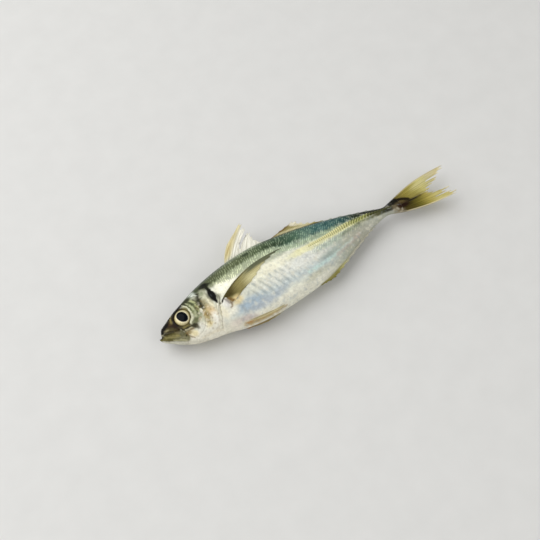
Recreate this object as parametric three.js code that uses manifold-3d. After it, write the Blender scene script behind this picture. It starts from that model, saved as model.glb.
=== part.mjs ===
// A whole raw scad, lying on its right flank with its left flank up.
//
// Every point is first placed on the fish itself by three distances in millimetres:
//   along   behind the tip of the snout, towards the tail;
//   height  above the line from the snout to the fork of the tail, towards the back;
//   out     to the left of the middle plane, negative on the right flank.
// lay() then turns the fish on its side, and the last lines centre it on its own box.
import * as THREE from "three";
import { mergeVertices } from "three/addons/utils/BufferGeometryUtils.js";
import Module from "manifold-3d";

const wasm = await Module();
wasm.setup();

// Driving dimensions.
const FORK_LENGTH = 210;
const TRUNK_HALF_WIDTH = 13;
const KEEL_DRAW = 0.08; // how much more the belly draws in to a keel than the back
const LIE_HEIGHT = 11.8; // of the middle plane: less than the half width, so the flank lies flat
const LIE_TILT = THREE.MathUtils.degToRad(4); // the back lies this much higher than the belly
const TAIL_SAG = 1.5;

const SNOUT_ROUNDING = 3; // length over which the snout rounds off
const JAW_LEAD = 1.6; // the lower jaw stands this far out past the upper one
const PEDUNCLE_END = 188;

const GILL_ALONG = 42; // where the ring of the loft turns into the edge of the gill cover
const GILL_SWEEP_START = 6;
const GILL_SWEEP_END = 92;
const GILL_STEP = 0.9; // how far the gill cover stands over the trunk behind it
const GILL_PLATE = 16; // length over which the step fades forwards
const GILL_TOP = [0.4, 0.75]; // the shares of height between which the step runs out below the back

const SCUTE_START = 112; // the keeled plates of the side line
const SCUTE_RISE = 50; // length over which they grow to their full height
const SCUTE_END = 178;
const SCUTE_HEIGHT = 2.2;
const SCUTE_STAND = 0.6;

const EYE_ALONG = 17.1;
const EYE_HEIGHT = 1.1;
const EYE_RADIUS = 6.2;
const EYE_HALF_DEPTH = 3.4;
const EYE_SINK = 1.9; // centre of the eyeball below the skin
const SOCKET_GAP = 0.3;

const MOUTH_REAR = [11, -8];
const MOUTH_TIP = -0.9; // height of the lips' meeting line at the snout
const MOUTH_GAPE = 0.9;

const FIN_ROOT_THICKNESS = 1.5;
const FIN_EDGE_THICKNESS = 0.6;
const FIN_ROOT_DEPTH = 2.4; // how deep a fin's root sits in the flesh
const RAY_RIDGE = 0.3;

const AROUND = 44;
const { clamp, lerp, smoothstep } = THREE.MathUtils;

// A smooth curve through a few [along, value] pairs, level beyond its ends.
function profile(knots) {
  const places = knots.map(([place]) => place);
  const values = knots.map(([, value]) => value);
  const curve = new THREE.CubicInterpolant(places, values, 1, []);
  return (along) => curve.evaluate(clamp(along, places[0], places.at(-1)))[0];
}

const back = profile([
  [-2, 0.6], [1, 2.3], [6, 4.9], [14, 8.8], [24, 12.5], [36, 16.6], [50, 19.8],
  [66, 22.1], [84, 22.8], [100, 20.9], [120, 17.6], [140, 13.1], [156, 8.6], [168, 4.8],
  [176, 2.3], [182, 3.4], [188, 4.6],
]);
const belly = profile([
  [-2, -5], [2, -7.2], [7, -11], [13, -14.8], [20, -17.8], [30, -19.8], [40, -21.7],
  [52, -24.8], [66, -26.5], [84, -26.5], [102, -25.1], [114, -23.2], [128, -19.2], [142, -14],
  [156, -8.9], [168, -5.7], [176, -4.3], [182, -5.6], [188, -7.4],
]);
const halfWidth = profile([
  [-2, 2.2], [4, 4.2], [12, 6.6], [20, 8.6], [30, 10.6], [42, 12],
  [58, TRUNK_HALF_WIDTH], [88, TRUNK_HALF_WIDTH], [108, 12], [128, 9.2], [148, 6],
  [164, 3.9], [174, 3], [182, 2], [188, 1],
]);
// The height at which a section is widest, as a share of the section from belly to back.
const widest = profile([[0, 0.5], [30, 0.55], [70, 0.58], [120, 0.56], [150, 0.5], [188, 0.5]]);
// The edge of the gill cover, as a shift of the loft's ring for each share of height, belly -1 to back 1.
const gillEdge = profile([
  [-1, -10], [-0.84, -7], [-0.6, -5.2], [-0.33, -2.4], [-0.08, 1.8], [0.12, 0.8], [0.32, -1.2], [1, -2],
]);
// The middle of the side line's row of plates.
const sideLine = profile([[SCUTE_START, -0.5], [132, 0.7], [148, 1.9], [158, 1.7], [169, 0.7], [182, -0.8]]);

// Lays a point of the fish down, on its right flank.
function lay(along, height, out) {
  const sag = TAIL_SAG * smoothstep(along, FORK_LENGTH / 2, FORK_LENGTH);
  return new THREE.Vector3(
    along,
    height * Math.cos(LIE_TILT) - out * Math.sin(LIE_TILT),
    LIE_HEIGHT - sag + out * Math.cos(LIE_TILT) + height * Math.sin(LIE_TILT),
  );
}

// How far out a section stands, as a share of its half width, for the sine of the angle round it.
function fullness(share, side) {
  return side ** (1 + KEEL_DRAW * (1 - share));
}

// How far the ring of the loft at a place leans into the edge of the gill cover there.
function gillSweep(place) {
  return place < GILL_ALONG
    ? smoothstep(place, GILL_SWEEP_START, GILL_ALONG)
    : 1 - smoothstep(place, GILL_ALONG, GILL_SWEEP_END);
}

// A point of the skin in the fish's own terms. The place picks the ring, and the angle runs round it
// from the back, at 0, by the left flank to the belly and up the right flank.
function skin(place, angle) {
  const share = Math.cos(angle);
  const side = Math.sin(angle);
  const lead = JAW_LEAD * share * (1 - smoothstep(place, 0, GILL_SWEEP_START));
  const along = place + lead + gillSweep(place) * gillEdge(share);
  const front = clamp(1 - place / SNOUT_ROUNDING, 0, 1);
  const rounding = Math.sqrt(1 - front * front);
  const level = lerp(belly(along), back(along), widest(along));
  const reach = share > 0 ? back(along) - level : level - belly(along);
  const height = level + reach * share * rounding;
  const covered = 1 - smoothstep(share, ...GILL_TOP);
  const plate = place <= GILL_ALONG ? covered * smoothstep(place, GILL_ALONG - GILL_PLATE, GILL_ALONG) : 0;
  const keel = Math.exp(-(((height - sideLine(along)) / SCUTE_HEIGHT) ** 2));
  const risen = smoothstep(along, SCUTE_START, SCUTE_START + SCUTE_RISE);
  const keeled = risen * (1 - smoothstep(along, SCUTE_END, PEDUNCLE_END));
  const relief = GILL_STEP * plate * Math.abs(side) + SCUTE_STAND * keel * keeled;
  const swell = halfWidth(along) * rounding * fullness(share, Math.abs(side));
  return { along, height, out: Math.sign(side) * (swell + relief) };
}

// How far out the skin of the flank lies at a place given by its distance along and its height.
function flank(along, height) {
  const level = lerp(belly(along), back(along), widest(along));
  const reach = height > level ? back(along) - level : level - belly(along);
  const share = clamp((height - level) / reach, -1, 1);
  return halfWidth(along) * fullness(share, Math.sqrt(1 - share * share));
}

// A closed solid from its corners and triangles.
function solid(points, triangles) {
  const geometry = new THREE.BufferGeometry().setFromPoints(points);
  geometry.setIndex(triangles);
  return solidOf(geometry);
}

function solidOf(geometry) {
  const bare = geometry.clone();
  bare.deleteAttribute("normal");
  bare.deleteAttribute("uv");
  const merged = mergeVertices(bare, 1e-4);
  const vertProperties = merged.getAttribute("position").array;
  const triVerts = new Uint32Array(merged.index.array);
  const build = () => new wasm.Manifold(new wasm.Mesh({ numProp: 3, vertProperties, triVerts }));
  const made = build();
  if (made.volume() > 0) return made;
  triVerts.reverse(); // every face of a piece that came out inside out is turned round
  return build();
}

// A solid through rings of points that run round alike, drawn to a point at both ends.
function loft(rings, first, last) {
  const count = rings[0].length;
  const points = [...rings.flat(), first, last];
  const triangles = [];
  for (let i = 0; i < count; i++) {
    const next = (i + 1) % count;
    triangles.push(points.length - 2, i, next);
    for (let ring = 0; ring < rings.length - 1; ring++) {
      const a = ring * count;
      triangles.push(a + i, a + count + i, a + count + next);
      triangles.push(a + i, a + count + next, a + next);
    }
    const end = (rings.length - 1) * count;
    triangles.push(end + next, end + i, points.length - 1);
  }
  return solid(points, triangles);
}

// A thin sheet with a true thickness. The rows hold { at, half }: a point in the middle of the sheet in
// the fish's own terms, and half the thickness there, which is taken across the fish.
function sheet(rows, side = 1) {
  const columns = rows[0].length;
  const total = rows.length * columns; // the lower face's corners follow the upper face's
  const upper = rows.flat().map(({ at, half }) => lay(at.along, at.height, side * (at.out + half)));
  const lower = rows.flat().map(({ at, half }) => lay(at.along, at.height, side * (at.out - half)));
  const faces = [];
  const quad = (a, b, c, d) => faces.push([a, b, c], [a, c, d]);
  for (let r = 0; r < rows.length - 1; r++) {
    for (let c = 0; c < columns - 1; c++) {
      const corner = r * columns + c;
      quad(corner, corner + columns, corner + columns + 1, corner + 1);
      quad(total + corner, total + corner + 1, total + corner + columns + 1, total + corner + columns);
    }
  }
  const rim = [];
  for (let c = 0; c < columns - 1; c++) rim.push(c);
  for (let r = 0; r < rows.length - 1; r++) rim.push(r * columns + columns - 1);
  for (let c = columns - 1; c > 0; c--) rim.push((rows.length - 1) * columns + c);
  for (let r = rows.length - 1; r > 0; r--) rim.push(r * columns);
  rim.forEach((here, i) => {
    const next = rim[(i + 1) % rim.length];
    quad(here, next, total + next, total + here);
  });
  return solid([...upper, ...lower], faces.flat());
}

// A fin as rays with skin between them. Each ray is { root, tip, bow }: [along, height] pairs, and how
// far the ray bows forwards at its middle. The place of a point across the fish comes from out().
const RAY_STEPS = 5;
const SKIN_STEPS = 2; // columns from one ray to the next
function fin(rays, { out = () => 0, root = FIN_ROOT_THICKNESS, edge = FIN_EDGE_THICKNESS, side = 1 } = {}) {
  const pointOn = ({ root: [rootAlong, rootHeight], tip: [tipAlong, tipHeight], bow = 0 }, t) => {
    const run = new THREE.Vector2(tipAlong - rootAlong, tipHeight - rootHeight);
    const bend = (4 * t * (1 - t) * bow) / run.length();
    return [rootAlong + run.x * t - run.y * bend, rootHeight + run.y * t + run.x * bend];
  };
  const rows = [];
  for (let step = 0; step <= RAY_STEPS; step++) {
    const t = step / RAY_STEPS;
    const row = [];
    for (let column = 0; column <= (rays.length - 1) * SKIN_STEPS; column++) {
      const ray = Math.min(Math.floor(column / SKIN_STEPS), rays.length - 2);
      const across = column / SKIN_STEPS - ray;
      const [a, b] = [pointOn(rays[ray], t), pointOn(rays[ray + 1], t)];
      const at = { along: lerp(a[0], b[0], across), height: lerp(a[1], b[1], across) };
      at.out = out(at.along, at.height);
      const onRay = column % SKIN_STEPS === 0 ? RAY_RIDGE * (1 - t) : 0;
      row.push({ at, half: (lerp(root, edge, t) + onRay) / 2 });
    }
    rows.push(row);
  }
  return sheet(rows, side);
}

// Places from one to another, a step apart.
function spaced(first, last, step) {
  const count = Math.floor((last - first) / step) + 1;
  return Array.from({ length: count }, (_, i) => first + i * step);
}

// The head, gill covers and trunk, from the snout to the root of the tail fin.
function body() {
  const snoutPlaces = [0.25, 0.8, 1.7, 3];
  const gillPlaces = [GILL_ALONG - 0.7, GILL_ALONG, GILL_ALONG + 0.8];
  const places = [
    ...snoutPlaces,
    ...spaced(5.5, 38, 2.8),
    ...gillPlaces,
    ...spaced(45.5, 107, 4.8),
    ...spaced(108, PEDUNCLE_END, 4),
  ];
  const rings = places.map((place) => {
    const ring = [];
    for (let i = 0; i < AROUND; i++) {
      const { along, height, out } = skin(place, (2 * Math.PI * i) / AROUND);
      ring.push(lay(along, height, out));
    }
    return ring;
  });
  const tail = (back(PEDUNCLE_END) + belly(PEDUNCLE_END)) / 2;
  return loft(rings, lay(0, -1.6, 0), lay(PEDUNCLE_END + 2, tail, 0));
}

// The cut of the mouth, a thin wedge right through the front of the jaws.
function mouth() {
  const [rearAlong, rearHeight] = MOUTH_REAR;
  const cut = new THREE.Shape([
    new THREE.Vector2(-4, MOUTH_TIP + MOUTH_GAPE),
    new THREE.Vector2(-4, MOUTH_TIP),
    new THREE.Vector2(0, MOUTH_TIP - MOUTH_GAPE / 2),
    new THREE.Vector2(rearAlong, rearHeight),
    new THREE.Vector2(1.2, MOUTH_TIP + MOUTH_GAPE / 2),
  ]);
  const width = 4 * halfWidth(rearAlong);
  const wedge = new THREE.ExtrudeGeometry(cut, { depth: width, bevelEnabled: false });
  return placed(wedge.translate(0, 0, -width / 2));
}

// A geometry whose x, y and z are along, height and out, laid down with the fish.
function placed(geometry) {
  const position = geometry.getAttribute("position");
  for (let i = 0; i < position.count; i++) {
    position.setXYZ(i, ...lay(position.getX(i), position.getY(i), position.getZ(i)).toArray());
  }
  return solidOf(geometry);
}

// An eyeball, flattened along the line that it looks along, which is square to the skin round it.
function eyeball(side, growth = 0) {
  const step = 2;
  const slopeAlong = (flank(EYE_ALONG + step, EYE_HEIGHT) - flank(EYE_ALONG - step, EYE_HEIGHT)) / (2 * step);
  const slopeUp = (flank(EYE_ALONG, EYE_HEIGHT + step) - flank(EYE_ALONG, EYE_HEIGHT - step)) / (2 * step);
  const gaze = new THREE.Vector3(-slopeAlong, -slopeUp, 1).normalize();
  const ball = new THREE.SphereGeometry(1, 20, 12);
  ball.scale(EYE_RADIUS + growth, EYE_HALF_DEPTH + growth, EYE_RADIUS + growth);
  ball.applyQuaternion(new THREE.Quaternion().setFromUnitVectors(new THREE.Vector3(0, 1, 0), gaze));
  ball.translate(EYE_ALONG, EYE_HEIGHT, flank(EYE_ALONG, EYE_HEIGHT));
  ball.translate(-gaze.x * EYE_SINK, -gaze.y * EYE_SINK, -gaze.z * EYE_SINK);
  return placed(ball.scale(1, 1, side));
}

// The tall first dorsal fin, with a short first spine, torn behind its third.
function firstDorsalFin() {
  const rays = [
    { foot: 60.6, tip: [70.4, 33], bow: 0.8 },
    { foot: 63.2, tip: [85.6, 42.8], bow: 2.2 },
    { foot: 66, tip: [83.2, 38], bow: 1.8 },
    { foot: 69, tip: [87.4, 37.8], bow: 1.4 },
    { foot: 72, tip: [79, 28.4], bow: 0.8 },
    { foot: 75, tip: [88, 33.3], bow: 2 },
    { foot: 80.5, tip: [88, 29], bow: 0.8 },
    { foot: 86, tip: [89.4, 25.4], bow: 0.3 },
    { foot: 90.5, tip: [93, 22.4] },
  ];
  return fin(rays.map(({ foot, tip, bow }) => ({ root: [foot, back(foot) - FIN_ROOT_DEPTH], tip, bow })));
}

// A fin folded back along the body, from the feet of its rays, where their tips lie, and how far the
// tips stand off the line of the back or the belly.
function foldedFin(line, direction, rays) {
  return fin(
    rays.map(([foot, tip, stand]) => ({
      root: [foot, line(foot) - direction * FIN_ROOT_DEPTH],
      tip: [tip, line(tip) + direction * stand],
    })),
  );
}

function secondDorsalFin() {
  return foldedFin(back, 1, [
    [92.5, 97, 0.6], [95, 106.4, 3.6], [98, 111.6, 5.6], [102, 117, 7.6], [107, 120.5, 5.4], [113, 126.4, 3],
    [120, 132, 2], [130, 142, 1.3], [142, 153, 1.2], [155, 164, 1], [163, 171, 0.6],
  ]);
}

function analFin() {
  return foldedFin(belly, -1, [
    [105, 109, 0.7], [108, 114, 1.6], [111, 120, 2.6], [117, 127, 2.3], [125, 135, 2],
    [135, 145, 1.7], [147, 155, 1.3], [156, 163, 0.6],
  ]);
}

// A pectoral fin, laid back on the flank as a long sickle.
function pectoralFin(side) {
  const rays = [
    { root: [43.6, -4], tip: [96.2, 7.2], bow: 4.6 },
    { root: [44.4, -4.8], tip: [88, 6], bow: 3.4 },
    { root: [45.2, -5.6], tip: [81.5, 4.2], bow: 2.4 },
    { root: [46, -6.4], tip: [75.5, 1.3], bow: 1.4 },
    { root: [46.8, -7.2], tip: [68, -2.4], bow: 0.6 },
    { root: [47.6, -8], tip: [58, -4.6] },
  ];
  const out = (along, height) => flank(along, height) + 0.25;
  return fin(rays, { out, root: 2.6, edge: 1.3, side });
}

// A pelvic fin, folded back against the belly.
function pelvicFin(side) {
  const rays = [
    { root: [49.5, -21.8], tip: [79, -25], bow: -0.3 },
    { root: [50.2, -22.5], tip: [77, -25.8], bow: -0.4 },
    { root: [51, -23.2], tip: [73, -26.3], bow: -0.4 },
    { root: [52, -23.8], tip: [66, -26.4], bow: -0.2 },
  ];
  const keelReach = 2.8; // above this from the keel the blade lies on the flank, and below it hangs straight
  const out = (along, height) => flank(along, Math.max(height, belly(along) + keelReach)) + 0.3;
  return fin(rays, { out, root: 1.8, edge: 1, side });
}

// The forked tail fin. Its skin is split between some rays, and it folds a little along the middle.
function tailFin() {
  const rays = [
    { root: [180, 2.2], tip: [230.7, 7.8], bow: 2.6 },
    { root: [181.5, 1.8], tip: [226, 6], bow: 2 },
    { root: [183, 1.3], tip: [216, 3.8], bow: 1.4 },
    { root: [184, 0.8], tip: [222, 2.3], bow: 1 },
    { root: [185, 0.2], tip: [216, 0.4], bow: 0.5 },
    { root: [185.6, -0.6], tip: [212, -2.5] },
    { root: [186, -1.6], tip: [210.4, -3.6] },
    { root: [185.6, -2.6], tip: [213, -5.5] },
    { root: [185, -3.4], tip: [219.5, -7.6], bow: -0.4 },
    { root: [184, -4], tip: [224.8, -8.5], bow: -1 },
    { root: [183, -4.4], tip: [217, -11.2], bow: -1.8 },
    { root: [181.5, -4.6], tip: [227, -13.8], bow: -2.6 },
    { root: [180, -4.6], tip: [225.5, -14.9], bow: -3.2 },
  ];
  const middle = -1.8;
  const slope = 0.14;
  const out = (along, height) => slope * Math.abs(height - middle) * smoothstep(along, 184, 200);
  return fin(rays, { out, root: 2.2, edge: FIN_EDGE_THICKNESS });
}

// What lies below the surface is pressed away where the flank rests.
function surface() {
  const slab = new THREE.BoxGeometry(2 * FORK_LENGTH, FORK_LENGTH, 2 * LIE_HEIGHT);
  return solidOf(slab.translate(FORK_LENGTH / 2, 0, -LIE_HEIGHT));
}

function meshOf(name, made, material) {
  const { vertProperties, triVerts } = made.getMesh();
  const geometry = new THREE.BufferGeometry();
  geometry.setAttribute("position", new THREE.BufferAttribute(vertProperties, 3));
  geometry.setIndex(new THREE.BufferAttribute(triVerts, 1));
  geometry.computeVertexNormals();
  const mesh = new THREE.Mesh(geometry, material);
  mesh.name = name;
  return mesh;
}

const skinMaterial = new THREE.MeshStandardMaterial({ color: 0xb9c2b2, roughness: 0.38, metalness: 0.25 });
const eyeMaterial = new THREE.MeshStandardMaterial({ color: 0x1a1c22, roughness: 0.12, metalness: 0 });

const flesh = [
  firstDorsalFin(),
  secondDorsalFin(),
  analFin(),
  pectoralFin(1),
  pectoralFin(-1),
  pelvicFin(1),
  pelvicFin(-1),
  tailFin(),
].reduce((whole, piece) => whole.add(piece), body());
const hollows = [eyeball(1, SOCKET_GAP), eyeball(-1, SOCKET_GAP), mouth(), surface()];
const fishSolid = hollows.reduce((whole, hollow) => whole.subtract(hollow), flesh);

const laid = new THREE.Group();
laid.add(meshOf("fish", fishSolid, skinMaterial));
laid.add(meshOf("eye_left", eyeball(1), eyeMaterial));
laid.add(meshOf("eye_right", eyeball(-1), eyeMaterial));

// The origin is under the middle of the fish's box.
const box = new THREE.Box3().setFromObject(laid);
laid.position.set(-(box.min.x + box.max.x) / 2, -(box.min.y + box.max.y) / 2, -box.min.z);

const fish = new THREE.Group();
fish.add(laid);
export default fish;
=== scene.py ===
# A whole raw scad lying on its right flank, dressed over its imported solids. The sections follow the fish:
# the skin of the head and trunk, the eyes, the plates of the side line, the fins, and then the studio.
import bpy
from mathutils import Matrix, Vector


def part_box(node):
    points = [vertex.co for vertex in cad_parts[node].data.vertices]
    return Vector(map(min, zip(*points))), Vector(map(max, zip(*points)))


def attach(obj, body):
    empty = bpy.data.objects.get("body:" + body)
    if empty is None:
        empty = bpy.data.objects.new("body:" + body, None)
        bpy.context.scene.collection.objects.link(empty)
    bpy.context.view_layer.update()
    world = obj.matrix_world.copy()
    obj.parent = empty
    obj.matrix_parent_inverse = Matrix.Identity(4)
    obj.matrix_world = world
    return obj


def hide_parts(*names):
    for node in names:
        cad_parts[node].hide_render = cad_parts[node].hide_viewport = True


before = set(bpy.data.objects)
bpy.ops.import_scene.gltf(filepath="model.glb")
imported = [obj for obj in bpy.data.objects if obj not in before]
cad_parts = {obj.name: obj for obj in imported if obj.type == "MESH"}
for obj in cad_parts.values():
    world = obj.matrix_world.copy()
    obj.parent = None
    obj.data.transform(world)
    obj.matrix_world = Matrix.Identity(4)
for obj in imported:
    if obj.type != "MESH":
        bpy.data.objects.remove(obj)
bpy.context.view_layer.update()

import math
from functools import partial

import bmesh
import bpy
import numpy as np
from mathutils import Vector, noise

# ------------------------------------------------------------------------------------------------ skin
# One wet skin covers the head, the gill covers and the trunk: a grid wrapped round them in rings that lean
# into the gill cover's edge, moulded over bones and ribs and pigmented stroke by stroke. Lengths are in
# millimetres: along behind the snout tip, height above the middle line, and out towards the left flank.
MM = 0.001
FORK_LENGTH = 210
LIE_HEIGHT, LIE_TILT, TAIL_SAG = 11.8, math.radians(4), 1.5
PRESS = 0.5  # how softly the flank is pressed flat where it rests
LOW_X, LOW_Y = 1.342, 26.7436  # how far the solid reaches in front of and below the snout tip
SNOUT_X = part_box("fish")[0].x / MM + LOW_X
SNOUT_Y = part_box("fish")[0].y / MM + LOW_Y

SNOUT_ROUNDING = 3  # length over which the snout rounds off
UPPER_JAW_BACK, LOWER_JAW_LEAD = 0.5, 1.6  # from the meeting line of the lips
GILL_ALONG = 42  # where a ring turns into the edge of the gill cover
GILL_SWEEP_START, GILL_SWEEP_END = 6, 92  # where the rings begin and cease to lean
GILL_STEP = 0.9  # how far the gill cover stands over the trunk behind it
GILL_PLATE = 16  # length over which the step fades forwards
GILL_TOP = (0.4, 0.75)  # shares of height between which the step runs out below the back
KEEL_DRAW = 0.08  # how much more the belly draws in to a keel than the back
RIDGE_START, RIDGE_GROWN, RIDGE_END = 112, 162, 178  # of the skin's ridge under the plates
RIDGE_HEIGHT, RIDGE_STAND = 2.2, 0.4
TAIL_ROOT = 188


def smoothstep(x, low, high):
    """0 up to low, rising to 1 at high."""
    t = np.clip((x - low) / (high - low), 0, 1)
    return t * t * (3 - 2 * t)


def fade(x, low, high):
    """1 up to low, falling to 0 at high."""
    return 1 - smoothstep(x, low, high)


def between(x, low, high, soft):
    """1 from low to high, fading to 0 over the soft width round each end."""
    return smoothstep(x, low - soft, low + soft) * fade(x, high - soft, high + soft)


def hump(x, width):
    """1 where x is 0, falling to 0 on both sides like a bell."""
    return np.exp(-((x / width) ** 2))


def profile(*knots):
    """A smooth line through (along, value) knots, level past both ends."""
    x, y = np.array(knots, float).T
    slope = np.empty_like(y)
    slope[1:-1] = (y[2:] - y[:-2]) / (x[2:] - x[:-2])
    slope[0] = 1.5 * (y[1] - y[0]) / (x[1] - x[0]) - slope[1] / 2
    slope[-1] = 1.5 * (y[-1] - y[-2]) / (x[-1] - x[-2]) - slope[-2] / 2

    def line(along):
        at = np.clip(along, x[0], x[-1])
        i = np.clip(np.searchsorted(x, at, side="right") - 1, 0, len(x) - 2)
        gap = x[i + 1] - x[i]
        t = (at - x[i]) / gap
        start = (2 * t**3 - 3 * t**2 + 1) * y[i] + (t**3 - 2 * t**2 + t) * gap * slope[i]
        return start + (3 * t**2 - 2 * t**3) * y[i + 1] + (t**3 - t**2) * gap * slope[i + 1]

    return line


back = profile(
    (-2, 0.6), (1, 2.3), (6, 4.9), (14, 8.8), (24, 12.5), (36, 16.6), (50, 19.8), (66, 22.1), (84, 22.8),
    (100, 20.9), (120, 17.6), (140, 13.1), (156, 8.6), (168, 4.8), (176, 2.3), (182, 3.4), (188, 4.6))
belly = profile(
    (-2, -5), (2, -7.2), (7, -11), (13, -14.8), (20, -17.8), (30, -19.8), (40, -21.7), (52, -24.8),
    (66, -26.5), (84, -26.5), (102, -25.1), (114, -23.2), (128, -19.2), (142, -14), (156, -8.9),
    (168, -5.7), (176, -4.3), (182, -5.6), (188, -7.4))
half_width = profile(
    (-2, 2.2), (4, 4.2), (12, 6.6), (20, 8.6), (30, 10.6), (42, 12), (58, 13), (88, 13), (108, 12),
    (128, 9.2), (148, 6), (164, 3.9), (174, 3), (182, 2), (188, 1))
# the height at which a section is widest, as a share of the section from belly to back
widest = profile((0, 0.5), (30, 0.55), (70, 0.58), (120, 0.56), (150, 0.5), (188, 0.5))
# how far the gill cover's edge shifts a ring, for each share of height from the belly, -1, to the back, 1
gill_edge = profile(
    (-1, -10), (-0.84, -7), (-0.6, -5.2), (-0.33, -2.4), (-0.08, 1.8), (0.12, 0.8), (0.32, -1.2), (1, -2))
# the middle of the row of plates
side_line = profile((112, -0.5), (132, 0.7), (148, 1.9), (158, 1.7), (169, 0.7), (182, -0.8))


def lay(along, height, out):
    """Points of the fish laid down on its right flank, in the frame's metres."""
    sag = TAIL_SAG * smoothstep(along, FORK_LENGTH / 2, FORK_LENGTH)
    y = height * math.cos(LIE_TILT) - out * math.sin(LIE_TILT)
    z = LIE_HEIGHT - sag + out * math.cos(LIE_TILT) + height * math.sin(LIE_TILT)
    return np.stack([along + SNOUT_X, y + SNOUT_Y, z], -1) * MM


def pressed(points, rest=0.0):
    """The same points, with what would lie below the table pressed flat on it."""
    z = points[:, 2] / MM - rest
    points[:, 2] = (rest + (z + np.sqrt(z * z + PRESS**2)) / 2) * MM
    return points


def widest_level(along):
    """The height at which the trunk is widest."""
    return belly(along) + (back(along) - belly(along)) * widest(along)


def fullness(share, side):
    """How full a section is at a share of its height, from its ellipse's half width there."""
    return side ** (1 + KEEL_DRAW * (1 - share))


def ridge(along, height):
    """How far the skin stands up under the plates of the side line."""
    grown = smoothstep(along, RIDGE_START, RIDGE_GROWN)
    return RIDGE_STAND * grown * hump(height - side_line(along), RIDGE_HEIGHT)


def skin_at(place, angle):
    """Along, height and out on the ring at a place; the angle runs from the back by the left flank."""
    share, side = np.cos(angle), np.sin(angle)
    leaning = smoothstep(place, GILL_SWEEP_START, GILL_ALONG)
    sweep = np.where(place < GILL_ALONG, leaning, fade(place, GILL_ALONG, GILL_SWEEP_END))
    jut = np.where(share > 0, UPPER_JAW_BACK, LOWER_JAW_LEAD) * share * fade(place, 0, GILL_SWEEP_START)
    along = place + jut + sweep * gill_edge(share)
    rounding = np.sqrt(1 - np.clip(1 - place / SNOUT_ROUNDING, 0, 1) ** 2)
    level = widest_level(along)
    reach = np.where(share > 0, back(along) - level, level - belly(along))
    height = level + reach * share * rounding
    plate = fade(share, *GILL_TOP) * smoothstep(place, GILL_ALONG - GILL_PLATE, GILL_ALONG)
    plate = np.where(place <= GILL_ALONG, plate, 0)
    swell = half_width(along) * rounding * fullness(share, np.abs(side))
    relief = GILL_STEP * plate * np.abs(side) + ridge(along, height) * fade(along, RIDGE_END, TAIL_ROOT)
    return along, height, np.sign(side) * (swell + relief)


def flank(along, height):
    """How far out the flank lies."""
    level = widest_level(along)
    reach = np.where(height > level, back(along) - level, level - belly(along))
    share = np.clip((height - level) / reach, -1, 1)
    return half_width(along) * fullness(share, np.sqrt(1 - share * share))


def streak(along, height, points, width, soft=0.5):
    """1 on a smooth line through the points, fading to 0 beside it. A pair of widths tapers the line."""
    x, y = np.array(points, float).T
    if len(x) > 2:
        turns = np.arange(len(x))
        fine = np.linspace(0, len(x) - 1, 5 * len(x))
        x, y = profile(*zip(turns, x))(fine), profile(*zip(turns, y))(fine)
    first, last = width if isinstance(width, tuple) else (width, width)
    mask = np.zeros_like(along)
    for i in range(len(x) - 1):
        run = np.array([x[i + 1] - x[i], y[i + 1] - y[i]])
        t = np.clip(((along - x[i]) * run[0] + (height - y[i]) * run[1]) / (run @ run), 0, 1)
        away = np.hypot(along - x[i] - t * run[0], height - y[i] - t * run[1])
        half = (first + (last - first) * (i + t) / (len(x) - 1)) / 2
        mask = np.maximum(mask, fade(away, half - soft / 2, half + soft / 2))
    return mask


def patch(along, height, centre, radii, turn=0.0, soft=0.4):
    """1 inside an oval, fading to 0 across its rim."""
    x, y = along - centre[0], height - centre[1]
    c, s = math.cos(math.radians(turn)), math.sin(math.radians(turn))
    return fade(np.hypot((x * c + y * s) / radii[0], (y * c - x * s) / radii[1]), 1 - soft, 1 + soft)


def tone(red, green, blue):
    """A colour given as the eye sees it, 0 to 255, in linear light."""
    c = np.array([red, green, blue]) / 255
    return np.where(c <= 0.04045, c / 12.92, ((c + 0.055) / 1.055) ** 2.4)


class Pigment:
    """The colour of each corner of a piece, laid on in strokes from the ground colour up."""

    def __init__(self, along, height, ground):
        self.along, self.height = along, height
        self.colour = np.tile(tone(*ground), (len(along), 1))

    def wash(self, shade, mask=1.0):
        self.colour += (tone(*shade) - self.colour) * np.reshape(np.clip(mask, 0, 1), (-1, 1))

    def streak(self, shade, points, width, soft=0.5, strength=1.0):
        self.wash(shade, strength * streak(self.along, self.height, points, width, soft))

    def patch(self, shade, centre, radii, turn=0.0, soft=0.4, strength=1.0):
        self.wash(shade, strength * patch(self.along, self.height, centre, radii, turn, soft))

    def run(self, stops, mask):
        """A wash whose shade changes along the fish, from one (along, shade) stop to the next."""
        places, shades = [stop[0] for stop in stops], np.array([tone(*stop[1]) for stop in stops])
        colour = np.stack([np.interp(self.along, places, channel) for channel in shades.T], -1)
        self.colour += (colour - self.colour) * np.clip(mask, 0, 1)[:, None]


def clouds(points, size, seed=0):
    """Smooth seeded noise at each point, -1 to 1, with lumps of the given size in millimetres."""
    shift = Vector((seed * 7.3, seed * 3.1, seed * 5.7))
    return np.array([noise.noise(Vector(p) / (size * MM) + shift) for p in points])


def grid(columns, rows):
    """A flat grid as a bmesh, with each vertex's share of the way along and across, 0 to 1."""
    bm = bmesh.new()
    bmesh.ops.create_grid(bm, x_segments=columns, y_segments=rows, size=0.5)
    flat = np.array([v.co for v in bm.verts])
    return bm, flat[:, 0] + 0.5, flat[:, 1] + 0.5


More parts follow.
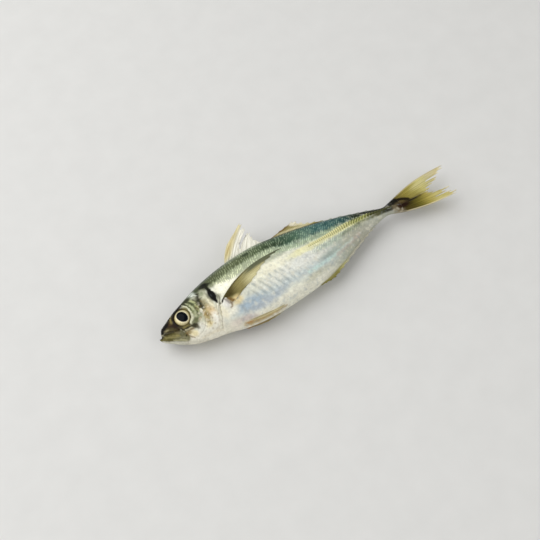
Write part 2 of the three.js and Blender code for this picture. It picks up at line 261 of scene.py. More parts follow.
def finished(name, bm, points, material, layers=(), seams=1e-7):
    """Moves the grid's vertices to their points, closes its seams and makes the piece."""
    for key, values in layers:
        layer = bm.verts.layers.float_color.new(key)
        full = np.ones((len(values), 4))
        full[:, : values.shape[1]] = values
        for vert, value in zip(bm.verts, full):
            vert[layer] = value
    for vert, point in zip(bm.verts, points):
        vert.co = point
    bmesh.ops.remove_doubles(bm, verts=bm.verts, dist=seams)
    bmesh.ops.recalc_face_normals(bm, faces=bm.faces)
    mesh = bpy.data.meshes.new(name)
    bm.to_mesh(mesh)
    bm.free()
    mesh.shade_smooth()
    mesh.materials.append(material)
    piece = bpy.data.objects.new(name, mesh)
    bpy.context.collection.objects.link(piece)
    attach(piece, "root")
    return piece


class Wire:
    """A shader socket that can be written in sums, so that 1 - mask adds its Math node."""

    def __init__(self, tree, socket):
        self.tree, self.socket = tree, socket

    def node(self, kind, settings, sockets, output=0):
        made = self.tree.nodes.new("ShaderNode" + kind)
        for key, value in settings.items():
            setattr(made, key, value)
        for key, value in sockets.items():
            if isinstance(value, Wire):
                self.tree.links.new(value.socket, made.inputs[key])
            else:
                made.inputs[key].default_value = value
        return Wire(self.tree, made.outputs[output])

    def math(self, operation, *terms):
        return self.node("Math", {"operation": operation}, dict(enumerate(terms)))

    def __add__(self, other):
        return self.math("ADD", self, other)

    def __sub__(self, other):
        return self.math("SUBTRACT", self, other)

    def __rsub__(self, other):
        return self.math("SUBTRACT", other, self)

    def __mul__(self, other):
        return self.math("MULTIPLY", self, other)

    __radd__, __rmul__ = __add__, __mul__

    def ease(self, low, high, start=0.0, end=1.0):
        sockets = {0: self, 1: low, 2: high, 3: start, 4: end}
        return self.node("MapRange", {"interpolation_type": "SMOOTHSTEP"}, sockets)

    def tinted(self, factor, lift=(0, 0, 0)):
        """This colour times a factor for each channel, and lifted."""
        return self.node("VectorMath", {"operation": "MULTIPLY_ADD"}, {0: self, 1: factor, 2: lift})

    def scaled(self, amount):
        """This colour made lighter or darker."""
        return self.node("VectorMath", {"operation": "SCALE"}, {0: self, 3: amount})

    def toward(self, colour, amount):
        """This colour mixed towards another."""
        return self.node("Mix", {"data_type": "RGBA"}, {0: amount, 6: self, 7: colour}, 2)

    def split(self, *parts):
        """The chosen parts of a vector, 0 to 2."""
        return [self.node("SeparateXYZ", {}, {0: self}, part) for part in parts]

    def feed(self, shader, socket):
        self.tree.links.new(self.socket, shader.inputs[socket])


def surface(name, **values):
    """A new material, its shader with the values that are the same all over, and its tree."""
    material = bpy.data.materials.new(name)
    material.use_nodes = True
    shader = material.node_tree.nodes["Principled BSDF"]
    for key, value in values.items():
        shader.inputs[key.replace("_", " ")].default_value = value
    return material, shader, Wire(material.node_tree, None)


def noise_on(place, scale, detail, roughness=0.5):
    """A noise texture's value, about 0.3 to 0.7."""
    sockets = {"Vector": place, "Scale": scale, "Detail": detail, "Roughness": roughness}
    return place.node("TexNoise", {}, sockets)


def bump_from(height, strength, distance):
    return height.node("Bump", {}, {"Strength": strength, "Distance": distance, "Height": height})


def skin_surface():
    """Wet skin: pigment with scale ticks across the back, silver under the flank, small scales in relief."""
    material, shader, start = surface(
        "wet_skin", Coat_Roughness=0.18, Coat_IOR=1.34, Specular_IOR_Level=0.07)
    place = start.node("TexCoord", {}, {}, "Object")
    pigment = start.node("Attribute", {"attribute_name": "pigment"}, {}, "Color")
    finish = start.node("Attribute", {"attribute_name": "finish"}, {}, "Vector")
    ticks, silver, scaly = finish.split(0, 1, 2)
    along, height = (metres * (1 / MM) for metres in place.split(0, 1))
    drift = noise_on(place, 160.0, 2.0)
    broken = noise_on(place, 420.0, 3.0)
    lean = along.ease(-22, 0, 0.3, 0.75)
    phase = (along - height * lean) * (2 * math.pi / 1.6) + drift * 16
    bars = (phase.math("SINE", phase) * 0.5 + 0.5) * broken.ease(0.36, 0.62)
    lit = pigment.tinted((1.3, 1.32, 1.2), (0.13, 0.145, 0.105))
    shade = pigment.tinted((0.6, 0.64, 0.6))
    colour = pigment.toward(lit, ticks * bars).toward(shade, ticks * (1 - bars) * 0.55)
    stretched = place.node("Mapping", {}, {"Vector": place, "Scale": (0.62, 1.0, 1.0)})
    cells = {"Vector": stretched, "Scale": 980.0, "Randomness": 0.55}
    scales = stretched.node("TexVoronoi", {}, cells)
    glint = stretched.node("TexVoronoi", {}, cells, 1).split(0)[0]
    mottled = noise_on(place, 900.0, 4.0)
    colour.scaled(0.86 + mottled * 0.2 + glint * scaly * 0.1).feed(shader, "Base Color")
    (silver * (0.75 + glint * 0.25)).feed(shader, "Metallic")
    (0.44 - silver * 0.16 + mottled * 0.12).feed(shader, "Roughness")
    (0.02 + broken * 0.14).feed(shader, "Coat Weight")
    relief = scales * scaly * 0.5 + mottled * 0.35 + bars * ticks * 0.25
    bump_from(relief, 0.35, 0.0003).feed(shader, "Normal")
    return material


wet_skin = skin_surface()


def socket_ring(along, height, tall):
    """How far a point lies from the middle of the eye's socket, 1 on its rim."""
    return np.hypot((along - 17.1) / 5.1, (height - 1.2) / tall)


def head_relief(along, height):
    """How far the bones of the head stand out or sink in, the same on both sides."""
    line = partial(streak, along, height)
    mouth = line([(-3, -0.2), (1.2, -1.4), (5, -4.2), (11, -8)], (0.7, 0.35), 0.5)
    plate = line([(2.4, -2.2), (7, -5), (11.2, -7.8)], (1.4, 3.8), 0.6)
    plate_edge = line([(2, -0.6), (6, -2.8), (11, -5), (13.4, -6.6), (14, -9), (12.8, -11.4)], 0.45, 0.5)
    ring = socket_ring(along, height, 6.0)
    lid = hump(ring - 1.2, 0.13) * smoothstep(along, 13, 20)
    socket = fade(ring, 0.86, 1.06)
    cheek = line([(26, 10.5), (28.8, 5), (29.8, -2), (29.4, -8), (26, -13), (19, -15.4)], 0.5, 0.7)
    cover = line([(33.5, 12), (33, 5), (32.5, -3), (33.5, -9), (31, -15)], 0.4, 0.8)
    rays = sum(
        line([(foot, -14.5), (foot + 4, -16.8), (foot + 11, end)], 0.3, 0.5)
        for foot, end in ((16, -19), (19, -18.2), (23, -17)))
    edge = line([(42.6, 0), (40.9, -3.5), (38.6, -9), (36.6, -14), (34.4, -18)], 0.6, 0.7)
    nostrils = patch(along, height, (9.2, 5.7), (0.6, 0.5)) + patch(along, height, (10.7, 6.3), (0.7, 0.5))
    lift = 0.34 * plate - 0.32 * mouth - 0.2 * plate_edge + 0.4 * lid - 1.9 * socket
    return lift - 0.3 * cheek - 0.16 * cover - 0.14 * rays + 0.22 * edge - 0.6 * nostrils


def trunk_relief(along, height):
    """The shoulder of the pectoral fin, the ribs, the belly's hollow and the gill slit."""
    slit_line = [(45.2, 1.5), (43.2, -1.8), (41.4, -5), (39.2, -10), (37.4, -14.5), (35.4, -18.6)]
    slit = streak(along, height, slit_line, 0.5, 0.8)
    shoulder = patch(along, height, (46, -7), (2.4, 3.6), 12, 0.5)
    lean = along + 0.32 * height
    ribs = np.sin(lean * 2 * math.pi / 4.6) * patch(along, height, (80, -9), (18, 6.5), 0, 0.5)
    hollow = patch(along, height, (66, -17), (18, 3), 4, 0.7)
    return 0.9 * shoulder - 0.25 * slit + 0.12 * ribs - 0.3 * hollow


# the lower edges of the dark band along the back and of the ticked band under it
dark_edge = profile(
    (36, 10.4), (46, 10.2), (54, 10.7), (61, 11.8), (80, 12.4), (91, 11.8), (97, 9.4), (106, 7.4), (116, 6.4),
    (130, 5.4), (142, 4.6), (150, 3.6), (156, 2.8), (164, 1.4), (172, 0.2), (180, 0), (190, 0.2))
tick_edge = profile(
    (36, 8.6), (46, 7.8), (54, 5.8), (62, 5.4), (70, 6.2), (88, 6.8), (96, 4.4), (106, 2.4), (118, 1.6),
    (130, 1.6), (145, 3), (152, 3.6), (160, 2.6), (172, 0), (190, 0))
RIBS, RIB_PITCH = 8, 4.3


def paint_trunk(coat, share):
    """The back's ticked green and blue band, the pale ribbed flank, and the yellow side line."""
    along, height = coat.along, coat.height
    over_line = height - side_line(along)
    # belly and lower flank
    coat.wash((234, 233, 216), fade(height, -21, -17))
    coat.wash((208, 217, 214), between(height, -17, -11, 2.5))
    # the blue and violet-grey patches here are painted sheen of the silvery lower flank
    coat.patch((156, 177, 194), (59, -14.8), (11, 3.8), -2, 0.7, 0.75)
    coat.patch((168, 179, 190), (66, -18.6), (13, 2.3), 0, 0.7, 0.75)
    coat.patch((246, 244, 226), (45.6, -11.8), (5, 4.2), 0, 0.6)
    coat.patch((172, 184, 192), (79, -17), (8, 2.2), 8, 0.7, 0.7)
    coat.patch((242, 234, 218), (43.6, -20.4), (5, 2.6), -14, 0.6, 0.8)
    coat.patch((196, 180, 174), (53, -21.2), (7, 1.9), -12, 0.7, 0.7)
    coat.patch((188, 188, 166), (108, -18.6), (9, 1.7), 8, 0.7, 0.7)
    low_rear = smoothstep(along, 112, 140) * fade(over_line, -6 + 3.4 * smoothstep(along, 130, 150), -2)
    coat.run(
        [(112, (200, 202, 182)), (134, (184, 188, 170)), (150, (178, 177, 160)), (168, (186, 188, 174))],
        low_rear)
    coat.patch((160, 176, 168), (124, -10.6), (9, 2.2), 14, 0.7, 0.8)
    coat.streak((208, 232, 224), [(104, -15.6), (120, -14), (132, -11.6), (144, -8.6)], (2.2, 0.8), 2.2, 0.85)
    coat.streak((200, 184, 172), [(128, -13.4), (140, -10.4), (150, -7.4)], 2.0, 1.6, 0.5)
    coat.streak((186, 158, 98), [(50, -23.2), (60, -25.0), (70, -25.7), (80, -25.6)], (1.5, 0.8), 1.2, 0.85)
    # middle of the flank
    coat.patch((248, 246, 222), (83, -1.8), (16, 5.4), 2, 0.6)
    # painted shadow on the skin round the tip of the pectoral fin
    coat.patch((166, 172, 146), (89, 4.6), (8, 2), 0, 0.6, 0.75)
    coat.patch((244, 246, 238), (102, -7.4), (24, 3.8), 3, 0.7, 0.85)
    coat.patch((254, 252, 230), (50.6, 4), (9, 4.8), 12, 0.5)
    coat.patch((238, 220, 168), (53, -8.8), (3.6, 2.8), 0, 0.6, 0.9)
    # painted shadows along the ribs, with painted highlights on the skin between them
    for i in range(RIBS):
        foot = 61.5 + RIB_PITCH * i + 0.5 * (i * 4 % 3)
        rib_shadow = [(foot, -4.5), (foot + 2.2, -8.5), (foot + 5.4, -14.5)]
        gap = [(x + 2.1, y + 0.6) for x, y in rib_shadow]
        coat.streak((150, 162, 160), rib_shadow, (1.2, 0.9), 1.7, 0.28 + 0.06 * (i * 5 % 7))
        coat.streak((246, 248, 236), gap, (1.2, 0.8), 1.4, 0.4 + 0.1 * (i * 3 % 5))
    coat.wash((236, 232, 176), between(along, 100, 162, 7) * between(over_line, -2.6, 1.6, 1.2) * 0.9)
    coat.patch((250, 248, 206), (112, -1.6), (12, 1.7), 0, 0.7, 0.8)
    # painted shadow under the row of plates, darkest towards the tail
    coat.wash((108, 126, 98), between(along, 136, 154, 6) * between(over_line, -5.0, -3.0, 1.0) * 0.6)
    coat.wash((92, 100, 64), between(along, 150, 172, 4) * between(over_line, -3.4, -1.4, 0.9) * 0.8)
    coat.wash((176, 192, 178), between(along, 116, 136, 5) * between(over_line, -7, -3.4, 1.6) * 0.7)
    # the back
    over_ticks = height - tick_edge(along)
    coat.run(
        [(44, (196, 198, 168)), (90, (180, 190, 162)), (104, (176, 190, 164)), (126, (170, 184, 158)),
         (142, (146, 160, 132))],
        smoothstep(over_ticks, -1.6, 1.6))
    band = np.maximum(dark_edge(along) - tick_edge(along), 0.8)
    coat.run(
        [(44, (160, 166, 132)), (90, (162, 174, 148)), (104, (128, 150, 134)), (140, (112, 134, 118))],
        smoothstep(over_ticks / band, 0.4, 1.1))
    teeth = 0.7 * np.sin((along - 0.6 * height) * 2 * math.pi / 2.9)
    coat.run(
        [(44, (86, 92, 64)), (66, (98, 106, 76)), (84, (84, 98, 70)), (98, (58, 80, 60)),
         (110, (78, 106, 88)), (128, (64, 104, 104)), (146, (46, 82, 82)), (154, (34, 44, 30)),
         (164, (24, 26, 15)), (188, (26, 24, 14))],
        smoothstep(height - dark_edge(along) + teeth, -1.2, 1.3))
    coat.patch((48, 62, 44), (75, 17), (3, 1.2), 0, 0.6, 0.7)
    coat.patch((52, 66, 46), (92, 13), (7, 1.4), -10, 0.6, 0.7)
    coat.patch((140, 164, 146), (116, 8.4), (3.6, 3.4), 0, 0.7, 0.45)
    # the top of the back in its own dark colours, lightened over the middle of the back with painted sheen
    # where the rounded top catches the light
    coat.run(
        [(40, (86, 92, 84)), (56, (98, 106, 96)), (74, (160, 168, 150)), (82, (160, 168, 150)),
         (92, (92, 100, 90)), (112, (60, 76, 62)), (136, (50, 80, 90)), (152, (38, 60, 58)),
         (164, (34, 38, 24)), (188, (26, 24, 14))],
        smoothstep(share, 0.74, 0.95) * 0.85)
    # root of the tail
    stem = smoothstep(along, 160, 170)
    coat.run(
        [(162, (104, 104, 72)), (170, (88, 88, 60)), (177, (52, 54, 42)), (188, (60, 56, 40))],
        stem * between(over_line, -3.0, 1.0, 0.8))
    coat.wash((36, 38, 20), stem * between(over_line, 0.1, 3.6, 0.6) * 0.9)
    coat.wash((178, 180, 164), stem * fade(over_line, -4.0, -2.8))
    coat.wash((128, 116, 90), smoothstep(along, 178, 186) * fade(height, -1.2, 0.6))
    coat.wash((24, 22, 14), smoothstep(along, 173, 181) * smoothstep(height, -1.0, 0.6))
    coat.wash((80, 68, 44), smoothstep(along, 183, 188) * between(height, -5.6, 0.4, 0.8))
    coat.patch((44, 20, 9), (190.2, -3.3), (4.2, 1.9), -8, 0.6)
    # root of the pectoral fin
    coat.patch((226, 223, 216), (45.2, -7.4), (1.8, 3.2), 22, 0.6, 0.85)
    # the grey-purple band is painted shade where the fin rises from its pale root, and the brown beside it is
    # the fin's brown root deepened with painted shade
    coat.streak((156, 144, 138), [(46.0, -4.2), (46.9, -6.4), (47.4, -8.4)], (1.5, 0.9), 1.3, 0.95)
    coat.streak((122, 90, 44), [(47.8, -5), (48.5, -7.6), (48.3, -9.8), (47, -10.9)], (1.1, 0.7), 0.9, 0.95)
    coat.streak((26, 23, 13), [(42.1, -5.4), (43.8, -4.7), (46.6, -3.1)], (1.3, 1.0), 0.6)


def paint_head(coat, share):
    """The black snout, bronze jaws, mossy cheek, cream gill cover and the black spot behind it."""
    along, height = coat.along, coat.height
    head = fade(along, 34, 44)
    coat.wash((216, 215, 192), head * fade(height, 6, 9))
    coat.wash((246, 242, 224), head * fade(height, -14, -10))
    roof = profile((-2, 0), (6, 3.2), (12, 6.2), (18, 8.6), (26, 9.2), (34, 8.8), (44, 9.6))
    over_roof = height - roof(along)
    coat.wash((62, 65, 50), head * smoothstep(over_roof, -0.5, 1.5))
    coat.wash((34, 34, 26), between(along, 12, 25, 3) * smoothstep(over_roof, -0.5, 1.0) * 0.8)
    off_the_nape = 1 - 0.75 * smoothstep(share, 0.86, 0.98)
    coat.patch((204, 212, 200), (30.6, 12.2), (2.8, 3), 20, 0.6, off_the_nape)
    coat.patch((66, 74, 50), (35, 12.4), (3, 2.8), 0, 0.5)
    coat.patch((124, 130, 104), (33.4, 8.9), (2.6, 1.3), 0, 0.6, 0.75)
    coat.patch((84, 88, 66), (37.8, 9.4), (2.1, 1.9), 0, 0.6, 0.9)
    coat.patch((140, 146, 118), (36.6, 7.2), (1.8, 1.4), 0, 0.6, 0.7)
    coat.patch((112, 120, 112), (38, 16.6), (5, 1.6), 16, 0.6, 0.7)
    # cheek and gill cover
    coat.patch((120, 128, 88), (26.4, 2.4), (4.1, 8.6), 6, 0.5)
    coat.patch((112, 116, 82), (22.6, -6.2), (3.4, 1.7), 24, 0.6, 0.9)
    coat.patch((44, 47, 29), (24.4, 9.6), (4.0, 2.0), 18, 0.6)
    coat.patch((200, 200, 174), (35.4, 3), (2.6, 6.4), -6, 0.5)
    coat.patch((144, 150, 122), (35, 7.4), (2, 2), 0, 0.6, 0.9)
    coat.patch((66, 67, 42), (31.2, 2.4), (2.3, 5.4), 4, 0.6, 0.95)
    coat.streak((40, 41, 25), [(33, 9), (32, 6), (31.2, 3), (31.5, 0), (32.2, -3)], (1.8, 2.2), 2.0)
    coat.patch((160, 152, 116), (34, -2.4), (1.7, 6.2), 4, 0.6, 0.85)
    coat.streak((58, 60, 36), [(28.9, 7), (29.3, 3), (28.8, 0)], 0.9, 0.9, 0.8)
    coat.streak((224, 228, 214), [(29.8, 10.6), (31, 10), (32.4, 8.2)], 0.6, 0.8, 0.9)
    coat.patch((92, 74, 34), (29.9, 0.2), (1.0, 0.9), 0, 0.7, 0.8)
    coat.patch((248, 245, 224), (29.4, -3), (0.9, 2.3), 10, 0.4)
    coat.patch((100, 104, 72), (23.9, -6.3), (1.6, 2.3), 20, 0.6, 0.9)
    coat.streak((176, 160, 110), [(31.8, -4.8), (30.4, -9), (30.4, -13)], (4.4, 2.6), 2.4, 0.9)
    coat.patch((122, 100, 54), (31.4, -7), (0.9, 1.4), 0, 0.6, 0.8)
    coat.patch((128, 108, 60), (30.2, -10.8), (1, 0.8), 20, 0.6, 0.8)
    coat.patch((150, 128, 84), (33, -9.4), (0.6, 1.5), 0, 0.6, 0.8)
    coat.patch((246, 234, 190), (29.8, -13.0), (2.4, 1.4), 0, 0.6, 0.9)
    coat.patch((226, 200, 154), (35.2, -7.4), (2.1, 4.8), 10, 0.7, 0.9)
    coat.patch((246, 238, 204), (37.2, -1.4), (1.2, 3.2), 6, 0.6, 0.8)
    coat.patch((255, 252, 238), (36, -12), (2.2, 4.2), 14, 0.6)
    coat.patch((244, 241, 224), (32.6, -15.4), (3.2, 1.5), -8, 0.6)
    coat.patch((232, 231, 216), (24.6, -11.6), (3, 2.6), -30, 0.6)
    coat.streak((222, 206, 166), [(22, -16.8), (30, -17.6), (36, -19)], 1.0, 1.2, 0.3)
    # jaws
    coat.streak((104, 98, 58), [(0, -3.6), (6, -7.2), (12.4, -11)], (3.4, 6.2), 1.4)
    coat.patch((146, 144, 116), (10.6, -10.8), (4.6, 1.9), -34, 0.7, 0.8)
    coat.streak((92, 86, 46), [(2.6, -2.8), (7, -5), (11.4, -7.2)], (1.6, 3.4), 1.0)
    # a painted highlight along the upper jaw's plate
    coat.streak((150, 141, 92), [(2.0, -4.3), (4.8, -5.8), (9.6, -8.2)], (0.8, 1.6), 1.3, 0.8)
    coat.patch((136, 127, 92), (10, -6.2), (1.8, 0.9), -30, 0.6, 0.8)
    coat.streak((172, 168, 132), [(5.4, -8.2), (8.6, -10), (12.4, -12.6)], (0.7, 1.0), 0.8, 0.9)
    coat.streak((88, 84, 48), [(2.6, -5.6), (7, -8.4), (12.6, -11.6)], 0.4, 0.6, 0.7)
    coat.streak((136, 128, 82), [(6.4, -5.6), (9.4, -7.2)], 0.8, 0.9, 0.7)
    coat.patch((110, 111, 88), (11.9, -7.8), (1.5, 1.7), 30, 0.6, 0.7)
    coat.streak((212, 210, 192), [(-1, -4.9), (5, -9.4), (12, -13.9)], (1.1, 1.6), 1.0)
    coat.streak((216, 212, 194), [(12, -13.9), (20, -17.4), (25, -18.8)], (1.6, 1.0), 2.0, 0.8)
    coat.streak((40, 36, 18), [(1.2, -1.9), (4.8, -3.4), (8.6, -4.4), (12, -5)], (0.8, 0.9), 0.8, 0.95)
    coat.streak((60, 58, 40), [(13.2, -6.2), (14.6, -8.2), (13.6, -10.8)], 0.9, 0.7)
    # snout
    coat.streak((50, 41, 21), [(1.6, -0.4), (4.4, 1.2), (8, -0.6), (10.8, -3.6)], (2.2, 4.6), 1.4)
    coat.patch((74, 66, 36), (5.6, -1.6), (5.0, 1.8), -28, 0.6)
    # a painted highlight on the snout above the mouth
    coat.patch((138, 130, 96), (4.8, -1.0), (1.3, 0.7), -20, 0.6, 0.9)
    coat.patch((116, 108, 80), (3.0, -0.2), (0.7, 0.5), 0, 0.6, 0.8)
    coat.streak((40, 24, 7), [(5, 3), (8.4, 1.4), (10.4, -1.2), (11.8, -4)], (3.4, 2.0), 1.2)
    coat.patch((72, 44, 18), (8.4, 1.8), (0.9, 1.2), 30, 0.7, 0.7)
    coat.streak((8, 5, 2), [(1.0, 0.0), (2.6, 1.0), (5, 2.2), (8, 3.6), (11, 5.6)], (2.8, 2.4), 1.2)
    coat.streak((20, 17, 11), [(1.6, 1.6), (5, 4.4), (9, 6.2)], 1.6, 1.2)
    coat.patch((62, 50, 24), (9.9, 3.0), (1.6, 2.6), -20, 0.6)
    # a painted golden highlight in front of the eye
    coat.patch((150, 136, 80), (11.2, 4.7), (1.1, 3.2), -24, 0.6, 0.9)
    coat.patch((138, 136, 104), (12.6, 7.6), (1.8, 1.2), 30, 0.6, 0.9)
    coat.streak((46, 39, 20), [(2.2, -1.7), (5, -2.6), (8, -3.7)], 0.8, 0.8, 0.85)
    coat.patch((34, 27, 16), (-0.4, -2.3), (1.6, 0.9), -25, 0.4)
    coat.streak((190, 182, 150), [(0.4, -0.5), (1.3, -1.5)], 0.5, 0.5, 0.6)
    coat.patch((18, 14, 8), (9.2, 5.7), (0.7, 0.6), 0, 0.4)
    coat.patch((18, 14, 8), (10.7, 6.3), (0.8, 0.6), 0, 0.4)
    # round the eye
    ring = socket_ring(along, height, 6.1)
    coat.wash((66, 58, 28), fade(ring, 1.08, 1.26))
    coat.wash((30, 22, 10), fade(ring, 1.2, 1.46) * fade(along, 13, 16))
    coat.streak((12, 10, 5), [(15.2, 7.4), (18.2, 8.7), (21.2, 8.9)], 2.8, 0.9)
    coat.wash((66, 60, 32), fade(ring, 1.24, 1.5) * fade(height, -4.4, -2.4))
    coat.patch((124, 118, 74), (21.7, 3.4), (0.9, 3.6), 6, 0.6, 0.8)
    rear_rim = [(21.4, 8.8), (22.9, 5.4), (23.5, 1.4), (22.8, -2.6), (19.8, -5.7)]
    coat.streak((222, 222, 192), rear_rim, (0.6, 1.3), 0.6)
    coat.streak((62, 66, 38), [(22.6, 9), (24.1, 5), (24.5, 1.6)], (0.8, 0.5), 0.6, 0.9)
    coat.streak((184, 188, 150), [(24, 8.4), (25.3, 4.6), (25.8, 0.4), (25.2, -3.4)], (0.6, 1.8), 0.9, 0.8)
    coat.streak((76, 82, 50), [(25.4, 8.8), (26.8, 4.4), (27.2, 0), (26.4, -4)], 0.7, 0.8, 0.7)
    coat.streak((180, 184, 138), [(27, 8.2), (28.5, 5), (28.8, 1.6), (28.2, -1.8)], (1.2, 1.3), 0.9, 0.9)
    coat.patch((112, 104, 74), (17.6, -8.4), (4.4, 1.5), -6, 0.7, 0.9)
    coat.patch((124, 114, 66), (16, -6), (2.8, 0.9), -8, 0.6, 0.85)
    coat.streak((46, 42, 24), [(13, -5.4), (15, -6.9), (18, -7.3), (21.4, -7.5)], (0.9, 1.2), 0.7, 0.9)
    # a painted highlight under the eye's dark rim
    coat.streak((196, 188, 154), [(15, -7.6), (17.4, -8.1), (19.4, -8.4)], 0.6, 0.6, 0.85)
    coat.patch((60, 58, 42), (21.6, -8.6), (2.1, 1.4), -24, 0.5)
    coat.streak((120, 90, 52), [(14.2, -9.6), (16.8, -9.2), (19.6, -9.8)], 0.6, 0.6, 0.9)
    coat.patch((240, 228, 186), (18.4, -12), (2.9, 1.7), -40, 0.5)
    coat.patch((150, 134, 94), (16.2, -10), (2, 0.9), -24, 0.6, 0.85)
    coat.patch((98, 95, 76), (22.5, -10.2), (1, 1.3), 20, 0.6, 0.8)
    coat.streak((128, 104, 66), [(14.4, -9.8), (15.6, -12), (17.8, -14.2)], 0.6, 0.7, 0.8)
    # the gill cover's edge and the spot behind it
    coat.patch((246, 240, 214), (41, -10.6), (2.2, 5.4), 14, 0.5, 0.9)
    edge = [(44.2, 0.6), (43.2, -1), (41.2, -3.6), (39, -9), (37, -14), (35, -18)]
    # the darker lines in front of and behind the pale rim are painted shade beside the raised edge
    coat.streak((168, 160, 126), [(x - 1.4, y) for x, y in edge], (0.7, 0.5), 0.8, 0.35)
    coat.streak((250, 247, 226), edge, (0.8, 1.2), 0.5)
    coat.streak((146, 138, 106), [(x + 1.0, y - 0.3) for x, y in edge], (0.6, 0.5), 0.8, 0.75)
    coat.streak((246, 242, 222), [(x + 2.0, y - 0.6) for x, y in edge[2:]], (0.6, 0.5), 0.8, 0.6)
    coat.streak((150, 152, 116), [(44, 0.2), (42.4, -1.6), (41, -3.8)], 1.0, 1.0, 0.6)
    coat.patch((14, 16, 9), (40.2, 12.1), (2.9, 2.3), -10, 0.35)
    coat.patch((34, 38, 24), (37.4, 12.2), (1.6, 1.2), 10, 0.6, 0.8)
    coat.patch((34, 38, 24), (43, 11.4), (1.6, 1), -10, 0.6, 0.8)
    coat.streak((28, 30, 19), [(40.6, 10.4), (40.5, 6)], 2.9, 1.2)
    # soft grey painted shadow round the rear of the spot
    coat.patch((104, 106, 84), (42.8, 0.6), (1.5, 2.8), 14, 0.6, 0.6)
    coat.patch((112, 118, 92), (43.6, 9), (2.0, 1.8), 0, 0.6, 0.75)
    coat.patch((112, 112, 94), (38, 2.4), (1.0, 3.6), 6, 0.7, 0.8)
    coat.patch((170, 168, 144), (38, -1), (1.2, 1.6), 6, 0.7, 0.7)
    coat.patch((6, 6, 4), (40.4, 2.4), (2.3, 4.4), 0, 0.25)
    coat.streak((6, 6, 4), [(40.6, 4), (40.6, -1), (40.4, -4)], (4.0, 0.9), 0.7)
    # a small painted glint on the black spot
    coat.patch((46, 50, 50), (39.7, 2.3), (0.5, 0.9), 0, 0.6, 0.8)


def skin_colour(along, height, points, share, wander):
    """The pigment of each corner, its strokes strayed a little and broken up by freckles and lumps."""
    coat = Pigment(along, height, (226, 228, 212))
    coat.along = along + 0.55 * clouds(points, 2.2, 2) + 0.3 * wander
    coat.height = height + 0.5 * clouds(points, 2.4, 3)
    paint_trunk(coat, share)
    coat.along = along + 0.4 * clouds(points, 1.5, 4)
    coat.height = height + 0.4 * clouds(points, 1.5, 5)
    paint_head(coat, share)
    freckled = patch(along, height, (31.5, -7), (6, 9), 8, 0.6)
    mossy = patch(along, height, (29, 5), (6, 9), 8, 0.6)
    pearly = smoothstep(along, 43, 50) * (1 - 0.5 * smoothstep(height, -8, 0)) * fade(height, 5, 10)
    for shade, where, size, seed, low, high, strength in (
        ((144, 118, 64), freckled, 2.0, 9, 0.1, 0.45, 0.7),
        ((240, 232, 206), freckled, 1.8, 10, 0.15, 0.45, 0.5),
        ((48, 52, 34), mossy, 1.7, 11, 0.08, 0.4, 0.6),
        ((236, 232, 212), pearly, 2.6, 12, 0.1, 0.5, 0.4),
        ((160, 172, 180), pearly, 2.0, 13, 0.2, 0.5, 0.3),
    ):
        coat.wash(shade, where * smoothstep(clouds(points, size, seed), low, high) * strength)
    uneven = 1 + 0.12 * clouds(points, 3, 6) + 0.15 * clouds(points, 1.1, 7)
    return np.clip(coat.colour * uneven[:, None], 0, 1)


def skin_finish(along, height):
    """How ticked, how silvery and how scaly the skin is."""
    ticks = smoothstep(height - tick_edge(along), -1.2, 0.8) * between(along, 45, 156, 4)
    under_line = between(height - side_line(along), -6.5, -1.5, 1.2) * between(along, 112, 156, 6)
    silver = smoothstep(along, 30, 60) * fade(height, -3, 6) * fade(along, 120, 165)
    scaly = smoothstep(along, 38, 52) * fade(along, 160, 180)
    return np.stack([np.maximum(ticks, 0.7 * under_line), 0.05 + 0.3 * silver, scaly], -1)


CLEAR_OF_TABLE = 0.08
HEAD_END, SKIN_END = 46, 190
HEAD_SHARE = 0.46  # of the skin's columns, so that they lie closer on the head


def make_skin():
    bm, u, v = grid(440, 220)
    on_head = HEAD_END * u / HEAD_SHARE
    on_trunk = HEAD_END + (SKIN_END - HEAD_END) * (u - HEAD_SHARE) / (1 - HEAD_SHARE)
    place = np.clip(np.where(u < HEAD_SHARE, on_head, on_trunk), 0, SKIN_END)
    turn = 2 * math.pi * v
    angle = turn + 0.2 * np.sin(2 * turn)  # the rows lie closer on the flanks

    def ring_point(place, angle):
        return lay(*skin_at(np.clip(place, 0, TAIL_ROOT), angle))

    along, height, out = skin_at(np.clip(place, 0, TAIL_ROOT), angle)
    closing = smoothstep(u, 0.992, 1)  # the rear end is drawn to a point inside the tail
    height = height + ((back(along) + belly(along)) / 2 - height) * closing
    out, along = out * (1 - closing), along + 2 * closing
    points = lay(along, height, out)

    step, turned = 0.05, 0.002
    clear = np.maximum(place, 0.02)  # of the very tip, where a ring has no size
    ahead = ring_point(place + step, angle) - ring_point(place - step, angle)
    around = ring_point(clear, angle + turned) - ring_point(clear, angle - turned)
    square = np.cross(around, ahead)
    square /= np.linalg.norm(square, axis=1)[:, None] + 1e-15
    wander = clouds(points, 9, 1)
    lift = head_relief(along, height) * fade(place, 44, 47)
    lift = lift + trunk_relief(along, height) * smoothstep(place, 38, 42) + 0.12 * wander
    lift *= smoothstep(np.abs(np.sin(angle)), 0.1, 0.3) * smoothstep(place, 0.5, 2) * fade(place, 180, 187)

    colour = skin_colour(along, height, points, np.cos(angle), wander)
    finish = skin_finish(along, height)
    points = pressed(points + square * (lift * MM)[:, None])
    points[:, 2] += CLEAR_OF_TABLE * MM
    return finished("body_skin", bm, points, wet_skin, [("pigment", colour), ("finish", finish)])


body_skin = make_skin()
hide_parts("fish")

